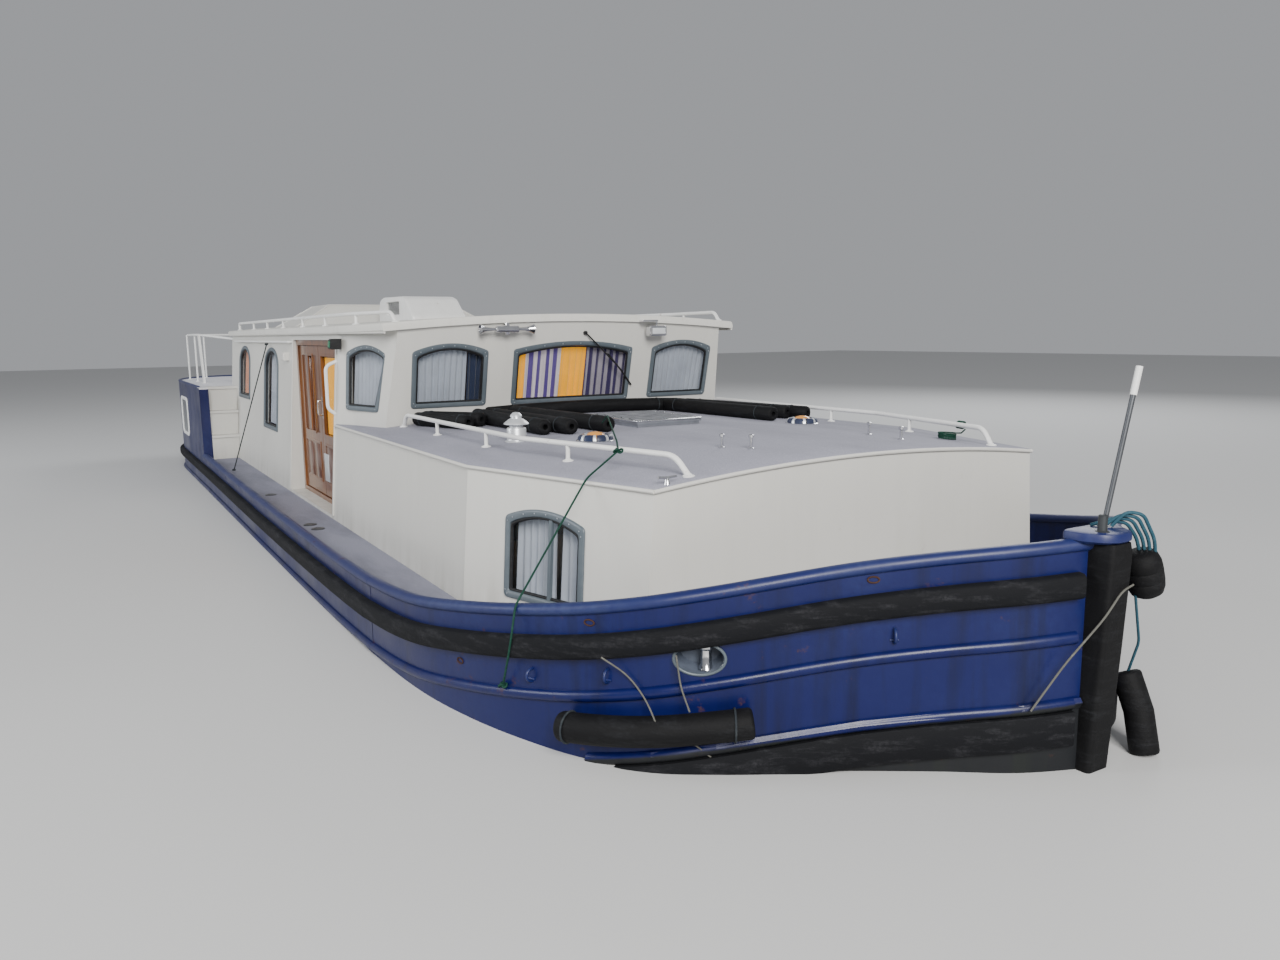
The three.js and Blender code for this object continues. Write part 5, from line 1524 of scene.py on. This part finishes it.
stowed = {
    "radius": 0.052,
    # one end's station and y, the other end's station and y
    "bars": [
        (-3.205, -0.850, -3.160, 0.870), (-3.420, -1.330, -2.780, -1.150), (-3.440, -1.265, -2.850, -1.020),
        (-3.190, -0.935, -1.985, -0.928), (-3.160, -0.840, -1.865, -0.800), (-3.150, -0.640, -1.785, -0.570),
        (-3.150, 0.735, -1.845, 0.850), (-3.130, 0.830, -2.085, 1.185), (-3.110, 0.905, -2.010, 1.325),
    ],
}


def buildStowedFenders():
    parts, ties = [], []
    radius = stowed["radius"]
    for number, (s0, y0, s1, y1) in enumerate(stowed["bars"]):
        path = []
        for k in range(9):
            t = k / 8
            s, y = s0 + (s1 - s0) * t, y0 + (y1 - y0) * t
            bend = 0.012 * math.sin(math.pi * t + number)
            path.append(spot(s, y + bend * 0.5, roofTop("fore", s, y) + radius + 0.001))
        parts.append(hollowBar(path, radius, 18))
        for k in (1, 7):
            way = (path[k + 1] - path[k - 1]).normalized()
            out = way.cross(Vector((0, 0, 1))).normalized()
            up = out.cross(way)
            ties.append(hoop(path[k], out * (radius + 0.0005), up * (radius + 0.0005), 0.0035, 24))
    piece = addPiece("stowedFenders", parts, "rubber", 45)
    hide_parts("stowed_fenders")
    addPiece("stowedFenderTies", ties, "darkRope", 60)


def buildFlue():
    profile = [(0.002, 0.0), (0.075, 0.0), (0.075, 0.006), (0.064, 0.010), (0.062, 0.016), (0.062, 0.082),
               (0.058, 0.090), (0.044, 0.092), (0.043, 0.108), (0.074, 0.110), (0.080, 0.114), (0.077, 0.120),
               (0.050, 0.142), (0.034, 0.150), (0.032, 0.158), (0.038, 0.160), (0.037, 0.168), (0.022, 0.184),
               (0.002, 0.188)]
    foot = roofTop("fore", -1.900, -1.172) - 0.004
    piece = addPiece("flueCap", turned(profile, spot(-1.900, -1.172, foot), sides=48), "aluminiumWhite", 30)
    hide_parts("flue")


def buildHorn():
    x, y, z = station(roofs["house"]["stations"][0][0] + 0.040), -0.612, deck + roofs["house"]["edge"] + 0.020
    parts = [turned([(0.020, -0.095), (0.026, -0.090), (0.026, 0.090), (0.020, 0.095)], (x, y, z), "Y", 24)]
    for way in (-1, 1):
        profile = [(0.004, 0.085), (0.011, 0.090), (0.012, 0.110), (0.014, 0.150), (0.019, 0.175), (0.028, 0.200),
                   (0.037, 0.216), (0.039, 0.222), (0.036, 0.224), (0.027, 0.205), (0.012, 0.180), (0.004, 0.178)]
        parts.append(turned([(r, way * h) for r, h in profile], (x, y, z), "Y", 32))
    back = x - 0.0395  # on the roof's front edge
    for clamp in (y - 0.055, y + 0.055):
        parts.append(slab((back, clamp - 0.008, z - 0.030), (x + 0.004, clamp + 0.008, z + 0.020), 0.003))
    parts.append(slab((back, y - 0.016, z - 0.042), (x + 0.010, y + 0.016, z + 0.050), 0.004))
    piece = addPiece("trumpetHorn", parts, "chrome", 40)
    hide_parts("horn")


def buildSearchlight():
    edge, y = roofs["house"]["stations"][0][0], 0.740
    x, top = station(edge + 0.070), roofTop("house", edge, y) - roofs["house"]["thick"] + 0.014
    shell = slab((x - 0.058, y - 0.082, top - 0.126), (x + 0.022, y + 0.082, top - 0.040), 0.014, 3)

    def onShell(a, u, out):
        return Vector((x + 0.022 + out, a, u))

    rim = frameBar(onShell, y - 0.076, y + 0.076, top - 0.120, top - 0.046, 0.012, 0.008)
    arm = slab((x - 0.0695, y - 0.138, top - 0.008), (x - 0.002, y + 0.012, top + 0.008), 0.003)
    stem = tube([(x - 0.012, y, top + 0.002), (x - 0.012, y, top - 0.050)], 0.009, 16)
    piece = addPiece("searchlightShell", [shell, rim, arm, stem], "chrome", 35)
    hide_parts("searchlight")
    lens = slab((x + 0.021, y - 0.064, top - 0.108), (x + 0.025, y + 0.064, top - 0.058), 0.002)
    addPiece("searchlightLens", lens, "lens", 35)


# wiper of the middle window, parked across its upper corner
def buildWiper():
    at = wallPlace(windows["window_front_centre"])
    pivot = at(0.075, 1.505, 0.022)
    elbow, tip = at(0.190, 1.400, 0.046), at(0.455, 1.180, 0.030)
    parts = [tube([pivot, at(0.075, 1.505, -0.004)], 0.016, 16), tube([pivot, elbow, tip], 0.006, 10)]
    blade = [at(0.300, 1.330, 0.022), at(0.455, 1.180, 0.018), at(0.560, 1.060, 0.022)]
    parts.append(tube(blade, 0.007, 10))
    addPiece("windowWiper", parts, "blackPlastic", 50)


# low ring ventilators with coloured segments, studs and a cleat on the fore roof
def buildVents():
    bases, blue, pale, ambers, studs = [], [], [], [], []
    for s, y in ((-1.480, -0.830), (-1.620, 0.930)):
        centre = spot(s, y, roofTop("fore", s, y))
        bases.append(turned([(0.120, -0.004), (0.120, 0.004), (0.114, 0.008), (0.060, 0.010), (0.056, 0.014),
                             (0.002, 0.014)], centre, sides=40))
        ambers.append(turned([(0.058, 0.012), (0.058, 0.038), (0.042, 0.050), (0.016, 0.056), (0.002, 0.057)],
                             centre, sides=32))
        for k in range(16):
            steps = (0.0, 0.45, 0.9, 1.3) if k % 2 else (0.38, 0.52, 0.66, 0.82)
            strip = []
            for turn in [2 * math.pi * (k + step) / 16 for step in steps]:
                strip.append([centre + Vector((radius * math.cos(turn), radius * math.sin(turn), high))
                              for radius, high in ((0.064, 0.008), (0.064, 0.034), (0.072, 0.042), (0.096, 0.040),
                                                   (0.108, 0.028), (0.112, 0.006))])
            (blue if k % 2 else pale).append(loft(strip))
    for s, y in ((-0.640, -0.480), (-0.490, -0.390), (-0.720, 0.710), (-0.400, 0.660)):
        studs.append(turned([(0.020, -0.004), (0.020, 0.006), (0.009, 0.010), (0.008, 0.060), (0.015, 0.064),
                             (0.015, 0.078), (0.008, 0.082)], spot(s, y, roofTop("fore", s, y)), sides=20))
    cleat = spot(-0.030, -1.230, roofTop("fore", -0.030, -1.230))
    studs.append(turned([(0.018, -0.004), (0.014, 0.008), (0.010, 0.030)], cleat, sides=16))
    studs.append(tube([cleat + Vector(p) for p in ((0, -0.05, 0.034), (0, 0, 0.030), (0, 0.05, 0.034))], 0.007, 12))
    addPiece("ventBases", bases, "chrome", 40)
    addPiece("ventSegmentsBlue", blue, "segmentBlue", 40)
    addPiece("ventSegmentsPale", pale, "aluminiumWhite", 40)
    addPiece("ventCaps", ambers, "amber", 40)
    addPiece("roofStuds", studs, "chrome", 40)


def buildDeckFillers():
    caps = []
    for s, y in ((-3.980, -1.985), (-4.190, -2.000), (-5.940, -1.990), (-3.980, 1.985), (-5.940, 1.990)):
        caps.append(turned([(0.052, -0.003), (0.052, 0.004), (0.046, 0.008), (0.030, 0.008), (0.028, 0.005),
                            (0.002, 0.005)], spot(s, y, deck), sides=32))
    addPiece("deckFillers", caps, "darkMetal", 40)


def buildRoofUnit():
    foot = deck + roofs["house"]["edge"] + roofs["house"]["thick"]
    profile = [(-7.890, 0.020), (-6.620, 0.020), (-6.620, 0.125), (-6.860, 0.318), (-6.980, 0.352), (-7.700, 0.362),
               (-7.830, 0.330), (-7.890, 0.240)]
    outline = roundPolygon(profile, [0, 0, 0.03, 0.04, 0.05, 0.06, 0.05, 0.05], 5)
    middle = Vector((-7.270, 0.180))
    rings = []
    for y, inset in ((-0.300, 0.030), (-0.296, 0.012), (-0.282, 0.002), (-0.262, 0), (0.272, 0), (0.292, 0.002),
                     (0.306, 0.012), (0.310, 0.030)):
        shrunk = [p + (middle - p).normalized() * inset for p in outline]
        rings.append([spot(p.x, y, foot + p.y) for p in shrunk])
    recess = slab(spot(-7.560, -0.34, foot + 0.150), spot(-7.080, -0.272, foot + 0.300), 0.008)
    case = addPiece("roofUnitCase", carve("roofUnitCase", loft(rings), [recess]), "white", 35)
    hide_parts("roof_unit")
    addSlats("roofUnitGrille", spot(-7.550, -0.276, foot + 0.163), (0, 0, 0.0125), 11, (0.462, 0.012, 0.005),
             "darkMetal")
    trims = [slab(spot(-7.880, y - 0.006, foot + 0.052), spot(-6.640, y + 0.006, foot + 0.060), 0.002)
             for y in (-0.296, 0.306)]
    feet = [slab(spot(s - 0.05, y - 0.03, foot + 0.055), spot(s + 0.05, y + 0.03, foot + 0.085), 0.004)
            for s in (-7.700, -6.820) for y in (-0.220, 0.230)]
    addPiece("roofUnitTrim", trims, "frameGrey", 30)
    addPiece("roofUnitFeet", feet, "darkMetal", 30)


# glazing bars along the edges of the sloping roof light
def buildSkylightTrim():
    low, high, start = deck + 1.560, deck + 1.870, 0.12  # start is the share of the slope below the bars
    ends, wide = (-9.200, -8.300), 0.785
    bars = []
    for side in (-1, 1):
        for s0, s1 in ((-9.420, ends[0]), (-8.080, ends[1])):
            foot, head = spot(s0, side * 1.300, low), spot(s1, side * wide, high)
            bars.append(tube([foot.lerp(head, start), head], 0.010, 10))
        bars.append(tube([spot(s, side * wide, high) for s in ends], 0.010, 10))
    for s in ends:
        bars.append(tube([spot(s, -wide, high), spot(s, wide, high)], 0.010, 10))
    addPiece("skylightBars", bars, "cream", 60)


def buildHatchTrim():
    low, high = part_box("hatch_lid")
    x0, x1, y0, y1, z = low[0] + 0.006, high[0] - 0.006, low[1] + 0.006, high[1] - 0.006, high[2] - 0.008
    bars = [tube([(x0, y0, z), (x1, y0, z), (x1, y1, z), (x0, y1, z)], 0.008, 10, closed=True)]
    for x in [low[0] + (high[0] - low[0]) * k / 6 for k in range(1, 6)]:
        bars.append(tube([(x, low[1] + 0.010, high[2] + 0.003), (x, high[1] - 0.010, high[2] + 0.003)], 0.007, 12))
    addPiece("hatchRim", bars, "chrome", 60, "hatch_lid_body")


# staff at the bow with its pale upper end
def buildStaff():
    foot = spot(1.392, -0.044, bow["noseTop"] - 0.004)
    lean = Vector((0.018, 0.150, 0.665)).normalized()
    middle = foot + lean * 0.570
    socket = turned([(0.030, -0.004), (0.030, 0.004), (0.019, 0.010), (0.018, 0.070), (0.014, 0.074)], foot,
                    sides=24)
    addPiece("bowStaff", tube([foot, foot + lean * 0.300, middle], 0.011, 12), "darkMetal", 60)
    addPiece("bowStaffSocket", socket, "steel", 40)
    top = [middle + lean * reach for reach in (-0.003, 0.110, 0.114)]
    addPiece("bowStaffTop", tube(top, 0.014, 14), "white", 50)


buildStowedFenders()
buildFlue()
buildHorn()
buildSearchlight()
buildWiper()
buildVents()
buildDeckFillers()
buildRoofUnit()
buildSkylightTrim()
buildHatchTrim()
print("roof gear built")

# Staff and cords


# a smooth run through the bends, with points about as far apart as gap
def cordPath(points, radius, gap=0.12):
    bent = roundCorners(points, radius, 6)
    result = [bent[0]]
    for a, b in zip(bent, bent[1:]):
        count = max(1, int((b - a).length / gap))
        result += [a.lerp(b, (k + 1) / count) for k in range(count)]
    return result


def layCord(name, path, diameter, look):
    cord = addPiece(name, tube(path, diameter / 2, 10), look, 60)
    long = sum((b - a).length for a, b in zip(path, path[1:]))
    tuple(path[0])
    [tuple(p) for p in path]


# an overhand knot drawn as a three-lobed loop
def knotAt(middle, radius, thick):
    ring = [Vector(middle) + Vector((math.sin(a) + 2 * math.sin(2 * a), math.cos(a) - 2 * math.cos(2 * a),
                                     -math.sin(3 * a))) * (radius / 3) for a in round360(48)]
    return tube(ring, thick, 8, closed=True)


# the long green cord, and the dark line from the grab rail to the side deck
def buildRopes():
    rail = spot(-0.420, -1.270, roofTop("fore", -0.420, -1.270) + rails["lift"] + 0.020)
    run = [spot(-1.770, -0.622, deck + 0.925), spot(-1.620, -0.668, deck + 0.985),
           spot(-0.700, -1.120, deck + 0.935), rail, spot(-0.400, -1.461, deck + 0.802)]
    for s, out, drop in ((-0.180, 0.022, 0.004), (-0.160, 0.064, 0.150), (-0.190, 0.060, 0.252),
                         (-0.270, 0.026, 0.385)):
        run.append(spot(s, -(sideAt(s)[0] + out), capHeight(s) - drop))
    tied = [knotAt(rail, 0.024, 0.0055), knotAt(run[-1], 0.020, 0.0055)]
    knots = addPiece("ropeKnots", tied, "deepGreenRope", 60)
    layCord("fenderRope", cordPath(run, 0.03), 0.010, "deepGreenRope")
    hook, foot = spot(-7.192, -1.7150, deck + 1.425), spot(-7.700, -2.060, deck + 0.045)
    addPiece("sideTieLine", [tube([hook, foot], 0.006, 10), knotAt(hook, 0.016, 0.006), knotAt(foot, 0.016, 0.006)],
             "darkRope", 60)


# a short green cord coiled beside the port cabin rail and wrapped round it
def buildPortCoil():
    thick, turns, sides = 0.009, 4, 16
    coil = [spot(s, y, roofTop("fore", s, y) + up) for s, y, up in ((-0.385, 1.200, 0.070), (-0.388, 1.168, 0.045))]
    for k in range(sides * turns + 1):
        angle = 2 * math.pi * k / sides + 1.0
        radius = 0.052 + 0.0012 * math.sin(k)
        s, y = -0.430 + radius * math.cos(angle), 1.090 + radius * math.sin(angle)
        coil.append(spot(s, y, roofTop("fore", s, y) + thick * (0.6 + 1.05 * (turns - k / sides))))
    layCord("portCoil", coil, thick, "deepGreenRope")
    high = roofTop("fore", -0.400, 1.180) + rails["lift"]
    across, up = Vector((0, 0.021, 0)), Vector((0.004, 0, 0.021))
    wraps = [hoop(spot(-0.385 - 0.012 * n, 1.180 + 0.003 * n, high), across, up, 0.005, 20) for n in range(5)]
    addPiece("railWraps", wraps, "deepGreenRope", 60)


# smooth side of the raised stern and the bar along its edge
def buildAftSkin():
    top, fore = aftDeckHeight, hullLines["aftBody"]
    plate = [(-sink, plateFoot), (-sink, top - 0.004), (lap, top - 0.004), (lap, plateFoot)]
    bar = [(-0.014 + 0.019 * math.cos(t), top + 0.004 + 0.016 * math.sin(t)) for t in round360(12)]
    alongSide("sternPlating", lambda s: plate, "hullBlue", 30, fore=fore - 0.0004)
    alongSide("sternEdgeBar", lambda s: bar, "capBlue", 60, fore=fore - 0.01)


buildStaff()
buildRopes()
buildPortCoil()
buildAftSkin()
print("staff, cords and stern built")

# Camera, floor and light

photoCamera = {
    "place": spot(3.730, -3.615, deck + 1.500),
    "yaw": 30.749, "pitch": 8.675, "roll": -0.645,  # degrees from straight aft, down and over
    "lens": 27.13, "sensor": 36.0,
}


def addCamera():
    yaw, pitch, roll = (math.radians(photoCamera[k]) for k in ("yaw", "pitch", "roll"))
    forward = Vector((-math.cos(yaw) * math.cos(pitch), math.sin(yaw) * math.cos(pitch), -math.sin(pitch)))
    level = Vector((math.sin(yaw), math.cos(yaw), 0))
    upright = level.cross(forward)
    right = level * math.cos(roll) + upright * math.sin(roll)
    up = upright * math.cos(roll) - level * math.sin(roll)
    data = bpy.data.cameras.new("photoCamera")
    data.lens, data.sensor_width = photoCamera["lens"], photoCamera["sensor"]
    data.clip_start, data.clip_end = 0.05, 400
    camera = newObject("photoCamera", data)
    basis = Matrix((right, up, -forward)).transposed()
    camera.matrix_world = Matrix.Translation(photoCamera["place"]) @ basis.to_4x4()
    scene.camera = camera


def addStage():
    half, z = 60.0, waterline
    floor = newObject("studioFloor", newMesh("studioFloor", [
        (-half, -half, z), (half, -half, z), (half, half, z), (-half, half, z)], [(0, 1, 2, 3)]))
    material, tree = newMaterial("studioFloor")
    surface(tree, (0.56, 0.56, 0.555, 1), 0.9)
    floor.data.materials.append(material)


def addLights():
    lights = [
        # name, place, aim, size, power, color
        ("keyLight", (19, -6, 10), (3, 0, 1.4), 7, 4500, (1.0, 0.985, 0.96)),
        ("fillLight", (-4, -19, 9), (-2, 0, 1.5), 9, 2400, (0.93, 0.96, 1.0)),
        ("backLight", (-6, 17, 12), (0, 0, 1.5), 8, 1600, (0.96, 0.98, 1.0)),
    ]
    for name, stand, aim, size, power, color in lights:
        data = bpy.data.lights.new(name, "AREA")
        data.size, data.energy, data.color = size, power, color
        light = newObject(name, data)
        light.location = stand
        light.rotation_euler = (Vector(aim) - Vector(stand)).to_track_quat("-Z", "Y").to_euler()
    world = bpy.data.worlds.new("studio")
    world.use_nodes = True
    backdrop = world.node_tree.nodes["Background"]
    backdrop.inputs["Color"].default_value = (0.86, 0.88, 0.92, 1)
    backdrop.inputs["Strength"].default_value = 0.42
    scene.world = world


addCamera()
addStage()
addLights()
print("camera, floor and light placed")

# The record's slots, with the finishes that go with each

slotFinishes = {
    "hull_blue": ["hullBlue"], "cap_blue": ["capBlue"], "cream": ["cream", "creamRoof"], "roof_grey": ["roof"],
    "deck_grey": ["deck", "aftDeck"], "white_paint": ["white"], "black_rubber": ["rubber", "blackPlastic"],
    "timber": ["timber"], "varnished_wood": ["wood", "woodDark"], "frame_grey": ["frameGrey", "cupGrey"],
    "chrome": ["chrome"], "aluminium": ["aluminium", "aluminiumWhite"],
    "steel": ["steel", "darkMetal", "rustySteel"], "bronze": ["bronze"], "floor_wood": ["floorWood"],
    "engine_green": ["engine"],
}


def giveSlots():
    slotOf = {look: slot for slot, looks in slotFinishes.items() for look in looks}


giveSlots()
